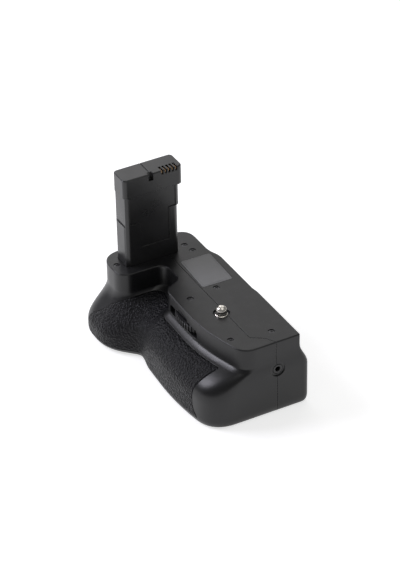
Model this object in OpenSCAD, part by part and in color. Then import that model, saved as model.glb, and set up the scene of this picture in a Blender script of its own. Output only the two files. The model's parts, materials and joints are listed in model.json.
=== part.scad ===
// Camera battery grip: a hollow case in two shells with a battery-shaped tower that plugs into
// the camera, a thumbwheel that drives the tripod stud, and a rear bay for two flat batteries.
// The origin is on the stud axis at the base plane. +X runs to the jack end and +Y to the rear.

/* [Case] */
// Height of the case from the base to the top plate
body_h = 47; // [44:0.5:56]
// Wall thickness of both shells
wall = 2.2; // [1.6:0.1:2.6]
// Thickness of the top plate
top_t = 2.4; // [2:0.1:2.8]
// Thickness of the floor
floor_t = 2.2; // [2:0.1:2.8]
// Stud axis to the jack end, at the top
neck_right = 39; // [36:0.5:44]
// Stud axis to the jack end, at the base
base_right = 40.3; // [39:0.1:45]
// Stud axis to the hand end, at the top
neck_left = 84.6; // [84:0.2:92]
// Stud axis to the hand end, at the base
base_left = 87.4; // [85:0.2:94]
// Stud axis to the rear edge of the top
neck_rear = 27.9; // [26.5:0.1:30]
// Stud axis to the rear wall
base_rear = 33.2; // [33.2:0.2:38]
// Stud axis to the front edge of the top
neck_front = 16.8; // [15.5:0.2:18]
// Stud axis to the fullest part of the front
base_front = 34.6; // [33.6:0.2:38]
// Stud axis to the front of the collar around the tower
collar_front = 33; // [31:0.5:36]
// Stud axis to the front of the hand nose
nose_front = 45.8; // [44:0.2:52]
// Depth of the straight neck wall in front
neck_drop = 12.8; // [12:0.2:13]
// Height of the bright ledge under the neck wall
ledge_h = 2; // [1.6:0.2:2.4]
// Depth below the top at which the front is fullest
belly_drop = 32.4; // [29.2:0.4:35.2]
// Edge rounding around the top plate
top_round = 0.7; // [0.2:0.1:0.9]
// Height of the rounding along the base
base_round = 5; // [3:0.5:7]

/* [Grip pad] */
// Thickness of the rubber pad
pad_t = 1.2; // [0.8:0.1:1.4]
// Height of the pad's upper edge under the ledge
pad_top = 31.6; // [30.4:0.2:31.8]
// Height of the pad's lower edge
pad_bottom = 3.6; // [3:0.2:8]

/* [Tower] */
// Thickness of the tower, along the case
tower_t = 14; // [13:0.2:15]
// Width of the tower below its cap
tower_w = 34; // [32:0.5:36]
// Height of the tower over the top plate
tower_h = 58; // [50:0.5:64]
// Height of the contact cap at the tower's end
cap_h = 12.3; // [10:0.1:14]
// How far the cap stands out at the rear
cap_lip = 3.1; // [2:0.1:4]
// Wall thickness of the hollow tower
tower_wall = 1.6; // [1.2:0.1:2]
// Tower middle, along the case
tower_x = -72.5; // [-73.5:0.1:-71.5]
// Tower middle, across the case
tower_y = -8; // [-9:0.1:-7]
// Number of contact slots in the cap
contact_n = 5; // [3:1:6]
// Spacing of the contact slots
contact_pitch = 2.2; // [2:0.1:2.5]
// Width of one contact slot
contact_slot = 1.3; // [1:0.1:1.5]

/* [Stud and thumbwheel] */
// Diameter of the tripod stud
stud_d = 6.35; // [6:0.05:7]
// Height of the stud over the top plate
stud_rise = 5; // [4:0.1:6]
// Radius of the thumbwheel
wheel_r = 21; // [20:0.1:21.6]
// Thickness of the thumbwheel rim
wheel_t = 3.5; // [3:0.1:3.8]
// Depth of the rim's upper face below the top
wheel_drop = 7.5; // [7.2:0.1:8]
// Thumbwheel axle, along the case
wheel_x = -15; // [-15.6:0.1:-14.4]
// Thumbwheel axle, across the case
wheel_y = 2.4; // [2:0.1:2.8]
// Grip ribs around the thumbwheel
wheel_ribs = 60; // [40:2:80]
// Teeth of each of the two equal gears
gear_teeth = 16; // [12:1:18]
// Thickness of the gears
gear_t = 2.8; // [2.2:0.1:3]
// Radius of the thumbwheel axle
axle_r = 2; // [1.6:0.1:2.4]
// Thickness of the plate between the gears and the wheel
plate_t = 0.9; // [0.7:0.1:1]
// Thickness of the carrier plate under the wheel
carrier_t = 1.6; // [1.2:0.1:2]

/* [Battery bay] */
// Width of one battery slot
slot_w = 37.4; // [36:0.1:38]
// Height of one battery slot
slot_h = 14.6; // [14:0.1:15]
// Wall thickness of the bay
bay_wall = 1.2; // [1:0.1:1.5]
// Height of the bay's underside over the base
bay_z = 6.4; // [6.2:0.1:7]
// Middle of the bay, along the case
bay_x = -8.3; // [-9:0.1:-8]
// Thickness of the bay's rear frame
bay_frame_t = 2; // [1.6:0.1:2.4]
// Depth of the bay in front of its rear frame
bay_depth = 52.7; // [50:0.1:53.5]
// Gap between the bay's door frame and the rear wall
frame_gap = 0.3; // [0.3:0.05:0.5]

/* [Battery door] */
// Thickness of the door panel
door_t = 1.9; // [1.5:0.1:1.9]
// Height of the door over its hinge axis
door_h = 19.6; // [19:0.1:19.8]
// Height of the hinge axis over the base
hinge_z = 6.2; // [6:0.1:6.4]
// Radius of the hinge barrel
barrel_r = 1.6; // [1.4:0.1:1.7]
// Radius of the hinge pin
hinge_pin_r = 0.8; // [0.6:0.05:0.9]
// Travel of the latch
latch_travel = 4; // [3:0.5:5]
// Width of the latch's thumb piece
latch_w = 12; // [10:0.5:14]

/* [Shutter] */
// Shutter axis, across the case
shutter_y = -18; // [-20:0.1:-16]
// Height of the shutter axis
shutter_z = 18; // [16:0.1:18.2]
// Radius of the shutter button
button_r = 4.6; // [4:0.1:5]
// Travel of the shutter button
button_travel = 1; // [0.6:0.1:1.2]
// Outer radius of the lock ring
ring_r = 7.8; // [7.4:0.1:8.2]
// Radius of the housing
housing_r = 9.2; // [9:0.1:9.8]

/* [Jack] */
// Jack axis, across the case
jack_y = 13.1; // [12.5:0.1:14.5]
// Height of the jack axis
jack_z = 29; // [28.2:0.1:29.5]
// Radius of the jack's sleeve
jack_r = 3; // [2.6:0.1:3.4]
// Radius of the jack's hole
jack_hole_r = 1.5; // [1.25:0.05:1.75]

/* [Base] */
// Length of the base plate
plate_l = 56; // [50:1:60]
// Width of the base plate
plate_w = 36; // [32:1:36]
// Thread core radius of the tripod socket
socket_r = 2.6; // [2.5:0.05:3]
// Length of the socket's thread
socket_l = 4.6; // [4:0.1:4.8]

/* [Fits] */
// Gap around a moving piece
run_gap = 0.3; // [0.25:0.05:0.4]
// Radial clearance of a turning fit
fit = 0.05; // [0.03:0.01:0.08]
// Gap around a piece set into the case
set_gap = 0.1; // [0.05:0.05:0.2]
// Radius of the screw shanks
screw_r = 0.9; // [0.7:0.1:1]
// Radius of the screw heads
head_r = 1.7; // [1.5:0.1:1.8]
// Height of the screw heads
head_h = 0.8; // [0.6:0.1:0.9]

/* [Hidden] */
$fn = 28;
eps = 0.01;

// Heights that the pieces share
under_top = body_h - top_t;
wheel_top = body_h - wheel_drop;
wheel_bottom = wheel_top - wheel_t;
plate_z = wheel_top + run_gap;
gear_z = plate_z + plate_t + run_gap;
gear_top = gear_z + gear_t;
carrier_z = wheel_bottom - run_gap - carrier_t;

// Places of the bay and its door
wall_in = base_rear - wall;
frame_back = wall_in - frame_gap;
frame_y = frame_back - bay_frame_t;
bay_front = frame_y - bay_depth;
bay_w = 2 * slot_w + 3 * bay_wall;
bay_xs = [bay_x - bay_w / 2, bay_x + bay_w / 2];
door_lap = 0.4;
door_xs = [bay_xs[0] - door_lap, bay_xs[1] + door_lap];
lug_w = 1.6;
lug_xs = [door_xs[0] - run_gap - lug_w, door_xs[1] + run_gap + lug_w];
hinge_y = base_rear - barrel_r;
door_top = hinge_z + door_h;
frame_bar = 1.3;
frame_top = door_top + frame_bar;

// The front wall leans back above its fullest part, so it goes out further than the bay does
// where a deeper bay needs the room, and the rear corner rounds off beside the door's lug
front_lean = 1.45;
front_less = 1.2;
front_y = max(base_front, -front_lean * bay_front - front_less);
corner_reach = 4;
rear_reach = min(corner_reach, base_right - wall - lug_xs[1]);

// Outline of the case: each corner has its place and rounding at the top and lower down,
// and the profile by which it goes from one to the other
rear = 0;
front = 1;
nose = 2;
corner = 3;
collar_side = -59;
notch_y = -4.5;
corners = [
  [[neck_right, neck_rear], 1.2, [base_right, base_rear], rear_reach, rear],
  [[-8.5, neck_rear], 2, [-8.5, base_rear], 2, rear],
  [[-12.5, neck_rear - 0.7], 2, [-12.5, base_rear], 2, rear],
  [[-51, neck_rear - 0.7], 3, [-51, base_rear], 3, rear],
  [[-58.5, neck_rear - 3.8], 4, [-58.5, base_rear], 3, rear],
  [[-neck_left, neck_rear - 3.8], 10, [-base_left, base_rear], 10, rear],
  [[-neck_left, -collar_front], 15, [-base_left, -nose_front], 25, nose],
  [[collar_side, -collar_front], 9, [collar_side + 1.5, -nose_front], 13, nose],
  [[collar_side + 0.4, notch_y], 7, [-43, 4.6 - front_y], 8, front],
  [[-41.5, notch_y], 4, [-37, 3.8 - front_y], 3, front],
  [[-36, 0.5 - neck_front], 6, [-30, 2 - front_y], 4, front],
  [[8, -neck_front], 16, [4, -front_y], 18, front],
  [[neck_right, 8.8 - neck_front], 8, [base_right, 5 - front_y], 15, corner]];

// Share of the way from the neck to the lower body at a depth below the top
flare_drop = neck_drop - 5.8;
flare_lap = 1.1;
flare_z = frame_top - flare_lap;
flare_h = body_h - flare_drop - flare_z;
nose_drop = neck_drop + 0.2;
nose_h = 24;
ledge_share = 0.15;
ledge_bend = 1.4;
belly_bend = 3;
function mix(a, b, t) = a + (b - a) * t;
function clip01(t) = min(1, max(0, t));
function ease(t) = let (u = clip01(t)) u * u * (3 - 2 * u);
function ledge(d) =
  let (t = clip01((d - neck_drop) / ledge_h))
  let (u = clip01((d - neck_drop - ledge_h) / (belly_drop - neck_drop - ledge_h)))
  ledge_share * pow(t, ledge_bend) + (1 - ledge_share) * (1 - pow(1 - u, belly_bend));
function profile(kind, d, sink) =
  kind == rear ? ease((d - flare_drop) / flare_h)
  : kind == nose ? ease((d - nose_drop) / nose_h)
  : ledge(d - sink);

// Rounding of the top and base edges, as an inset of the outline. The base rounds in furthest
// under the nose, and least at the rear
base_in = [0.3, 0.5, 1, 0.45];
function quarter(t) = 1 - sqrt(max(0, 1 - t * t));
function edge_in(z, kind) =
  z < base_round ? base_in[kind] * base_round * quarter((base_round - z) / base_round)
  : z > body_h - top_round ? top_round * quarter((z - body_h + top_round) / top_round)
  : 0;

// Outline at one height, drawn in by a distance, with a curve of m points at each corner. The
// shoulder of the front is so flat that an inner face also sinks below the outer one there
function unit(v) = v / norm(v);
function left_of(v) = [-v.y, v.x];
function inset(p, v, q, e) =
  let (n1 = left_of(unit(v - p)), n2 = left_of(unit(q - v)))
  v + e * (n1 + n2) / (1 + n1 * n2);
function frame_at(z, e, sink) =
  let (k = [for (c = corners) mix(c[0], c[2], profile(c[4], body_h - z, sink))])
  let (n = len(k))
  [for (i = [0 : n - 1])
    inset(k[(i + n - 1) % n], k[i], k[(i + 1) % n], e + edge_in(z, corners[i][4]))];
function reach(c, z, sink) = mix(c[1], c[3], profile(c[4], body_h - z, sink));
function curve_point(a, v, b, t) = (1 - t) * (1 - t) * a + 2 * t * (1 - t) * v + t * t * b;
function outline(z, e, m, sink) =
  let (k = frame_at(z, e, sink), n = len(k))
  [for (i = [0 : n - 1])
    let (p = k[(i + n - 1) % n], v = k[i], q = k[(i + 1) % n])
    let (d = min(reach(corners[i], z, sink), 0.49 * norm(p - v), 0.49 * norm(q - v)))
    let (a = v + d * unit(p - v), b = v + d * unit(q - v))
    each [for (j = [0 : m - 1]) curve_point(a, v, b, j / (m - 1))]];

// Heights of the loft, from the base to the top
ledge_z = body_h - neck_drop - ledge_h;
base_steps = [for (a = [0, 15, 32, 55, 90]) base_round * (1 - cos(a))];
belly_steps = [for (t = [0 : 0.125 : 0.9]) mix(body_h - belly_drop, ledge_z, 1 - pow(1 - t, 1.4))];
cove_steps = [for (t = [1, 0.9, 0.75, 0.55, 0.3, 0]) body_h - neck_drop - ledge_h * t];
top_steps = [body_h - flare_drop, body_h - top_round, body_h - 0.3 * top_round, body_h];
outer_steps = concat(base_steps, belly_steps, cove_steps, top_steps);
wall_sink = 1.4;
pad_sink = 0.8;
inner_steps = concat([floor_t],
  [for (t = [0, 0.33, 0.67, 1]) mix(base_round, flare_z, t)],
  [for (t = [0.4, 0.75]) mix(flare_z, ledge_z - wall_sink, t)],
  [for (t = [1, 0.6, 0]) body_h - neck_drop - wall_sink - ledge_h * t], [under_top]);

module loft(steps, e, m, sink) {
  rings = [for (z = steps) outline(z, e, m, sink)];
  n = len(rings[0]);
  top = len(steps) - 1;
  polyhedron(
    points = [for (k = [0 : top]) each [for (p = rings[k]) [p.x, p.y, steps[k]]]],
    faces = concat(
      [for (k = [0 : top - 1]) each [for (i = [0 : n - 1])
        let (a = k * n + i, b = k * n + (i + 1) % n)
        each [[a, a + n, b + n], [a, b + n, b]]]],
      [[for (i = [0 : n - 1]) i]],
      [[for (i = [n - 1 : -1 : 0]) top * n + i]]));
}
module case_outer(e = 0, sink = 0) {
  loft(outer_steps, e, 6, sink);
}
module case_inner() {
  loft(inner_steps, wall, 3, wall_sink);
}

// Plan shapes
module box(x, y, z) {
  translate([x[0], y[0], z[0]])
    cube([x[1] - x[0], y[1] - y[0], z[1] - z[0]]);
}
module soft_box(x, y, z, r) {
  hull()
    for (cx = [x[0] + r, x[1] - r], cy = [y[0] + r, y[1] - r])
      translate([cx, cy, z[0]])
        cylinder(r = r, h = z[1] - z[0], $fn = 32);
}
function round_rect(x, y, r) =
  [for (c = [[x[1] - r, y[1] - r, 0], [x[0] + r, y[1] - r, 90],
      [x[0] + r, y[0] + r, 180], [x[1] - r, y[0] + r, 270]])
    each [for (a = [0 : 18 : 90]) [c[0] + r * cos(c[2] + a), c[1] + r * sin(c[2] + a)]]];
module round_box(x, y, z, r) {
  translate([0, 0, z[0]])
    linear_extrude(z[1] - z[0])
      polygon(round_rect(x, y, r));
}
module rod(at, r, z) {
  translate([at.x, at.y, z[0]])
    cylinder(r = r, h = z[1] - z[0]);
}
module rod_x(y, z, r, x) {
  translate([x[0], y, z])
    rotate([0, 90, 0])
      cylinder(r = r, h = x[1] - x[0]);
}

// Parting line between the shells: straight along the top, then stepping back to the jack
part_y = 2;
part_bend_x = 27;
part_bend_l = 7.5;
part_bend_y = 10;
part_end_y = jack_y - 0.6;
far = 200;
part_line = concat([[-far, part_y]],
  [for (t = [0 : 0.125 : 1]) [part_bend_x + part_bend_l * t, mix(part_y, part_bend_y, ease(t))]],
  [[base_right - 1.5, part_end_y], [far, part_end_y]]);
module front_side() {
  translate([0, 0, -far])
    linear_extrude(2 * far)
      polygon(concat(part_line, [[far, -far], [-far, -far]]));
}
module rear_side() {
  translate([0, 0, -far])
    linear_extrude(2 * far)
      polygon(concat(part_line, [[far, far], [-far, far]]));
}

// Screws of the top plate: the first two hold the gear plate, the next two the jack bracket
// and the last three the tower
gear_screws = [[-23.2, 9.6], [-21, -8.4]];
jack_screws = [[28.7, 15.5], [24.6, -8]];
tower_screws = [[-70, 14.4], [-63, 16], [-71.3, -28.8]];
top_screws = concat(gear_screws, jack_screws, tower_screws);
screw_l = 6;
head_sink = 0.2;
head_z = body_h - head_sink - head_h;
module screw_hole(at) {
  rod(at, head_r + set_gap, [head_z, body_h + 1]);
  rod(at, screw_r + set_gap, [under_top - 1, body_h]);
}
boss_r = 1.8;
boss_z = plate_z + plate_t;
module boss(at, r = boss_r) {
  hull() {
    rod(at, r, [boss_z, boss_z + 0.5]);
    rod(at, r + 0.15, [under_top, under_top + 0.5]);
  }
}
carrier_posts = [[-40.5, 7], [9.5, 19], [10, -8.5]];
carrier_screw_l = 10.5;
module boss_holes() {
  for (at = gear_screws)
    rod(at, screw_r + set_gap, [boss_z - 1, under_top + 1]);
  for (at = carrier_posts)
    rod(at, screw_r + set_gap, [boss_z - 1, carrier_z + carrier_screw_l + set_gap]);
}

// Shared places of the tower, stud, jack, bay and shutter
tower_xs = [tower_x - tower_t / 2, tower_x + tower_t / 2];
tower_ys = [tower_y - tower_w / 2, tower_y + tower_w / 2];
flange_t = 2.2;
flange_w = 1.4;
flange_r = 9;
flange_xs = [tower_xs[0] - flange_w, tower_xs[1] + 2 * flange_w];
flange_ys = [tower_screws[2].y - flange_w, tower_ys[1] + flange_w];
stud_r = stud_d / 2;
bush_wall = 1.5;
bush_sink = 0.8;
bush_r = stud_r + bush_wall;
bush_top = body_h - bush_sink;
slot_z = bay_z + bay_wall;
slot_top = slot_z + slot_h;
bay_top = slot_top + bay_wall;
opening_z = hinge_z - barrel_r - run_gap;
lug_top = hinge_z + barrel_r + run_gap;
shutter_in = 0.5;
housing_proud = 0.9;
lip_gap = 2.2;
shutter_wall_x = shutter_in - base_left;
housing_face = shutter_wall_x - housing_proud;
flange_x = shutter_wall_x + wall + lip_gap;
jack_sink = 0.6;
recess_w = 1.5;
jack_face = base_right - jack_sink;
jack_recess_r = jack_r + recess_w;
plate_x = -4;
plate_xs = [plate_x - plate_l / 2, plate_x + plate_l / 2];
plate_ys = [-plate_w / 2, plate_w / 2];
base_screw_in = 3;
base_screw_at = [for (x = [plate_xs[0] - base_screw_in, plate_xs[1] + base_screw_in],
  y = [plate_ys[0] + 4, plate_ys[1] - 4]) [x, y]];

// Cuts that both shells share
module shell_cuts() {
  soft_box([tower_xs[0] - set_gap, tower_xs[1] + set_gap],
    [tower_ys[0] - set_gap, tower_ys[1] + set_gap], [under_top - 1, body_h + 1], 3);
  soft_box([plate_xs[0] - set_gap, plate_xs[1] + set_gap],
    [plate_ys[0] - set_gap, plate_ys[1] + set_gap], [-1, floor_t + 1], 3);
  rod([0, 0], bush_r + set_gap, [under_top - 1, body_h + 1]);
  for (at = top_screws)
    screw_hole(at);
  for (at = base_screw_at) {
    rod(at, head_r + set_gap, [-1, head_h + head_sink]);
    rod(at, screw_r + set_gap, [0, floor_t + 1]);
  }
  rod_x(jack_y, jack_z, jack_r + set_gap, [base_right - 8, base_right + 1]);
  rod_x(jack_y, jack_z, jack_recess_r, [jack_face - 0.2, base_right + 1]);
}

// Zone of the grip pad in the front view, as upper and lower heights along the case
pad_end = [[23.3, 22, 10.5], [26.4, pad_top, pad_bottom + 3.4]];
pad_edge = [
  [-80, pad_bottom + 6, pad_bottom + 1.5], [-76, 16.5, pad_bottom], [-70, 20.5, pad_bottom],
  [-66, 25.6, pad_bottom], [-62, 29, pad_bottom], [-57, 32.3, pad_bottom],
  [-52, pad_top + 0.6, pad_bottom], [-44, pad_top, pad_bottom], [-30, pad_top, pad_bottom],
  [0, pad_top, pad_bottom], [pad_end[0][0], pad_top, pad_bottom]];
pad_back = [0, -9];
pad_hand_x = -50;
module pad_post(x, hi, lo, g) {
  back = x < pad_hand_x ? pad_back[0] : pad_back[1];
  translate([x - eps, -nose_front - 2, lo - g])
    cube([2 * eps, nose_front + 2 + back, hi - lo + 2 * g]);
}
module pad_zone(g = 0) {
  for (i = [0 : len(pad_edge) - 2])
    hull() {
      pad_post(pad_edge[i][0] - (i == 0 ? g : 0), pad_edge[i][1], pad_edge[i][2], g);
      pad_post(pad_edge[i + 1][0], pad_edge[i + 1][1], pad_edge[i + 1][2], g);
    }
  hull() {
    pad_post(pad_end[0][0], pad_top, pad_end[0][1], g);
    pad_post(pad_end[1][0] + g, pad_top, pad_top - 2, g);
  }
  hull() {
    pad_post(pad_end[0][0], pad_end[0][2], pad_bottom, g);
    pad_post(pad_end[1][0] + g, pad_end[1][2], pad_bottom, g);
  }
  hull() {
    pad_post(pad_end[0][0] - eps, pad_end[0][1] + 2, pad_end[0][2] - 2, g);
    pad_post(pad_end[0][0] + 0.3 + g, pad_end[0][1] + 1, pad_end[0][2] - 1, g);
  }
}
module pad_skin(outer, inner, g) {
  intersection() {
    difference() {
      case_outer(outer);
      case_outer(inner, pad_sink);
    }
    pad_zone(g);
  }
}

// Slot for the wheel in the front of the neck, with a scoop for the finger above it
wheel_slot_z = [wheel_bottom - 1, wheel_top + 1];
wheel_slot_xs = [wheel_x - 15.5, wheel_x + 16];
scoop_w = 15;
module wheel_window() {
  translate([0, -10, 0])
    rotate([90, 0, 0])
      soft_box(wheel_slot_xs, wheel_slot_z, [0, 16], 2);
  hull()
    for (s = [-1, 1])
      translate([wheel_x - 2 + s * scoop_w / 3, -neck_front - 2.4, wheel_slot_z[1] + 0.5])
        sphere(r = 3.4, $fn = 32);
}

module front_shell() {
  color("#3b3c40")
    difference() {
      union() {
        difference() {
          intersection() {
            difference() {
              case_outer();
              case_inner();
            }
            front_side();
          }
          pad_skin(-1, pad_t, set_gap);
        }
        boss(gear_screws[1]);
        boss(carrier_posts[2], boss_r + 0.6);
      }
      shell_cuts();
      boss_holes();
      wheel_window();
      rod_x(shutter_y, shutter_z, housing_r + set_gap, [-base_left - 3, flange_x + 2]);
    }
}

label_xs = [-56, -27];
label_ys = [4, 23];
label_turn = 2;
label_t = 0.4;
label_sink = 0.3;
module label_turned() {
  translate([label_xs[0], label_ys[0], 0])
    rotate([0, 0, -label_turn])
      translate([-label_xs[0], -label_ys[0], 0])
        children();
}
module rear_shell() {
  color("#3a3b3f")
    difference() {
      union() {
        intersection() {
          difference() {
            case_outer();
            case_inner();
          }
          rear_side();
        }
        boss(gear_screws[0]);
        boss(carrier_posts[0], boss_r + 0.6);
        boss(carrier_posts[1], boss_r + 0.6);
      }
      shell_cuts();
      boss_holes();
      label_turned()
        soft_box([label_xs[0] - set_gap, label_xs[1] + set_gap],
          [label_ys[0] - set_gap, label_ys[1] + set_gap], [body_h - label_sink, body_h + 1], 1.5);
      hull()
        box([door_xs[0] - run_gap, door_xs[1] + run_gap], [wall_in - 3, base_rear + 1],
          [opening_z, door_top + run_gap]);
      hull()
        box([lug_xs[0] - set_gap, lug_xs[1] + set_gap], [wall_in - 3, base_rear + 1],
          [opening_z, lug_top]);
    }
}

grip_rubber = "#2b2b31";
module grip_pad() {
  color(grip_rubber)
    pad_skin(0, pad_t, 0);
}

// Screws with a cross slot, pointing down from the top or up from below
slot_t = 0.5;
module screw(at, length) {
  difference() {
    union() {
      rod(at, head_r, [0, head_h]);
      rod(at, screw_r, [-length, 0]);
    }
    for (a = [0, 90])
      translate([at.x, at.y, head_h])
        rotate([0, 0, a])
          cube([2 * head_r - 1, slot_t, head_h], center = true);
  }
}
module raised_screw(at, length, z) {
  translate([0, 0, z])
    screw(at, length);
}
module rising_screw(at, length, z) {
  translate([0, 0, z])
    mirror([0, 0, 1])
      screw(at, length);
}
module case_screws() {
  color("#57575a")
    for (at = top_screws)
      raised_screw(at, screw_l, head_z);
}

// Base plate with the tripod socket
base_flange_t = 1.4;
base_flange_in = 6;
socket_wall = 2.6;
socket_lip = 2;
socket_outer_r = socket_r + socket_wall;
socket_flange_r = socket_outer_r + socket_lip;
base_screw_l = floor_t + base_flange_t - head_h - head_sink;
module base_plate() {
  color("#3f4043")
    difference() {
      union() {
        round_box(plate_xs, plate_ys, [0, floor_t], 3);
        round_box([plate_xs[0] - base_flange_in, plate_xs[1] + base_flange_in], plate_ys,
          [floor_t, floor_t + base_flange_t], 3);
      }
      rod([0, 0], socket_outer_r, [-1, floor_t + base_flange_t + 1]);
      for (at = base_screw_at)
        rod(at, screw_r, [0, floor_t + base_flange_t + 1]);
    }
}
module base_screws() {
  color("#57575a")
    for (at = base_screw_at)
      rising_screw(at, base_screw_l, head_h + head_sink);
}
socket_cap = 0.6;
module tripod_socket() {
  color("#b9a36a")
    difference() {
      union() {
        rod([0, 0], socket_outer_r, [0, socket_l + socket_cap]);
        rod([0, 0], socket_flange_r, [floor_t + base_flange_t, socket_l + socket_cap]);
      }
      rod([0, 0], socket_r, [-1, socket_l]);
    }
}

// Tower that takes the place of the camera's battery
tower_round = 3;
cap_z = body_h + tower_h - cap_h;
tower_step_y = 1;
tower_step_z = cap_z - 13.5;
side_step = 0.5;
side_step_z = cap_z - 19.2;
panel_in = 0.6;
panels = [[tower_ys[0] + 3, tower_ys[0] + 9.4, cap_z - 18],
  [tower_ys[0] + 9.4, tower_ys[1] - 6, cap_z - 34.6],
  [tower_ys[1] - 6, tower_ys[1] - 1.6, cap_z - 13.3]];
tower_in_xs = [tower_xs[0] + tower_wall, tower_xs[1] - tower_wall];
tower_in_ys = [tower_ys[0] + tower_wall + side_step, tower_ys[1] - tower_wall];
tower_tab_ys = [flange_ys[1] - 2, tower_screws[1].y + 2];
module battery_tower() {
  color("#2e2f32")
    difference() {
      union() {
        round_box(tower_xs, tower_ys, [under_top - flange_t, cap_z], tower_round);
        round_box(tower_xs, [tower_ys[0] + tower_w / 2, tower_ys[1] + tower_step_y],
          [tower_step_z, cap_z], tower_round);
        round_box(flange_xs, flange_ys, [under_top - flange_t, under_top], flange_r);
        box([tower_screws[0].x - 2.5, tower_screws[1].x + 2], tower_tab_ys,
          [under_top - flange_t, under_top]);
      }
      box(tower_in_xs, tower_in_ys, [0, cap_z + 1]);
      for (p = panels)
        box([tower_xs[1] - panel_in, tower_xs[1] + 1], [p[0], p[1]], [p[2], cap_z + 1]);
      box([tower_xs[0] - 1, tower_xs[1] + 1], [tower_ys[0] - 1, tower_ys[0] + side_step],
        [side_step_z, cap_z + 1]);
      for (at = tower_screws)
        rod(at, screw_r, [0, under_top + 1]);
    }
}
cap_ys = [tower_ys[0] - 0.2, tower_ys[1] + cap_lip];
cap_bevel = 0.8;
cap_top = cap_z + cap_h;
spigot_h = 3;
contact_edge = 8.3;
contact_mid = cap_ys[1] - contact_edge;
contact_in = 4.5;
contact_drop = 2.6;
key_y = contact_mid - 11.8;
key_w = 3;
key_drop = 4.5;
contact_ys = [for (i = [0 : contact_n - 1])
  contact_mid + (i - (contact_n - 1) / 2) * contact_pitch];
module tower_cap() {
  color("#2a2b2d")
    difference() {
      union() {
        hull() {
          round_box(tower_xs, cap_ys, [cap_z, cap_top - cap_bevel], 2.5);
          round_box([tower_xs[0] + cap_bevel, tower_xs[1] - cap_bevel],
            [cap_ys[0] + cap_bevel, cap_ys[1] - cap_bevel], [cap_z, cap_top], 2);
        }
        box([tower_in_xs[0] + set_gap, tower_in_xs[1] - set_gap],
          [tower_in_ys[0] + set_gap, tower_in_ys[1] - set_gap], [cap_z - spigot_h, cap_z + 1]);
      }
      for (y = contact_ys)
        box([tower_xs[1] - contact_in, tower_xs[1] + 1],
          [y - contact_slot / 2, y + contact_slot / 2], [cap_top - contact_drop, cap_top + 1]);
      box([tower_xs[1] - 2.4, tower_xs[1] + 1], [key_y - key_w / 2, key_y + key_w / 2],
        [cap_top - key_drop, cap_top + 1]);
      box([tower_xs[0] - 1, tower_xs[1]], [key_y - 0.25, key_y + 0.25],
        [cap_top - 0.5, cap_top + 1]);
    }
}
blade_t = 0.6;
module tower_contacts() {
  color("#b08a58")
    for (y = contact_ys)
      box([tower_xs[1] - contact_in, tower_xs[1] - 0.8], [y - blade_t / 2, y + blade_t / 2],
        [cap_top - contact_drop, cap_top - 0.8]);
}
module label_plate() {
  color("#6f7073")
    label_turned()
      round_box(label_xs, label_ys, [body_h - label_sink, body_h - label_sink + label_t], 1.5);
}

// Stud, bush and the two equal gears that turn it
gear_gap = norm([wheel_x, wheel_y]);
gear_r = gear_gap / 2;
gear_turn = atan2(-wheel_y, -wheel_x);
gear_step = 360 / gear_teeth;
tooth_half = PI * gear_gap / gear_teeth / 4 - 0.1;
tooth_up = 0.8;
tooth_down = 1.05;
function tooth_at(r, half, side, turn) = let (a = turn + side * half / r * 180 / PI)
  [r * cos(a), r * sin(a)];
function gear_points(turn) = [for (i = [0 : gear_teeth - 1]) let (a = turn + i * gear_step)
  each [tooth_at(gear_r - tooth_down, tooth_half + 0.3, -1, a),
    tooth_at(gear_r, tooth_half, -1, a),
    tooth_at(gear_r + tooth_up, tooth_half / 2, -1, a),
    tooth_at(gear_r + tooth_up, tooth_half / 2, 1, a),
    tooth_at(gear_r, tooth_half, 1, a),
    tooth_at(gear_r - tooth_down, tooth_half + 0.3, 1, a)]];
module gear(turn) {
  translate([0, 0, gear_z])
    linear_extrude(gear_t)
      polygon(gear_points(turn));
}
pivot_r = 1.8;
journal_step = 0.4;
journal_r = stud_r + journal_step;
stud_top = body_h + stud_rise;
stud_tip = 1.2;
stud_profile = concat([[0, plate_z], [pivot_r, plate_z], [pivot_r, gear_z], [journal_r, gear_z],
  [journal_r, bush_top], [stud_r, bush_top]],
  [for (a = [0 : 15 : 90]) [stud_r - stud_tip * (1 - cos(a)), stud_top - stud_tip * (1 - sin(a))]],
  [[0, stud_top]]);
module tripod_stud() {
  color("#d9d2c4")
    rotate_extrude()
      polygon(stud_profile);
}
module stud_gear() {
  color("#c9b274")
    difference() {
      gear(gear_turn + 180 + gear_step / 2);
      rod([0, 0], journal_r, [gear_z - 1, gear_top + 1]);
    }
}
bush_flange_t = 0.4;
bush_flange_w = 1.6;
module stud_bush() {
  color("#8d8a83")
    difference() {
      union() {
        rod([0, 0], bush_r, [under_top - bush_flange_t, bush_top]);
        rod([0, 0], bush_r + bush_flange_w, [under_top - bush_flange_t, under_top]);
      }
      rod([0, 0], journal_r + fit, [0, body_h + 1]);
    }
}
hub_r = 5;
module gear_plate() {
  color("#a9abae")
    difference() {
      translate([0, 0, plate_z])
        linear_extrude(plate_t)
          hull()
            for (at = concat(gear_screws, carrier_posts, [[0, 0]]))
              translate(at)
                circle(r = 2.8, $fn = 32);
      rod([0, 0], pivot_r + fit, [0, body_h]);
      rod([wheel_x, wheel_y], hub_r + run_gap, [0, body_h]);
      for (at = gear_screws)
        rod(at, screw_r, [0, body_h]);
      for (at = carrier_posts)
        rod(at, screw_r + set_gap, [0, body_h]);
    }
}
post_r = boss_r + 0.6;
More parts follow.
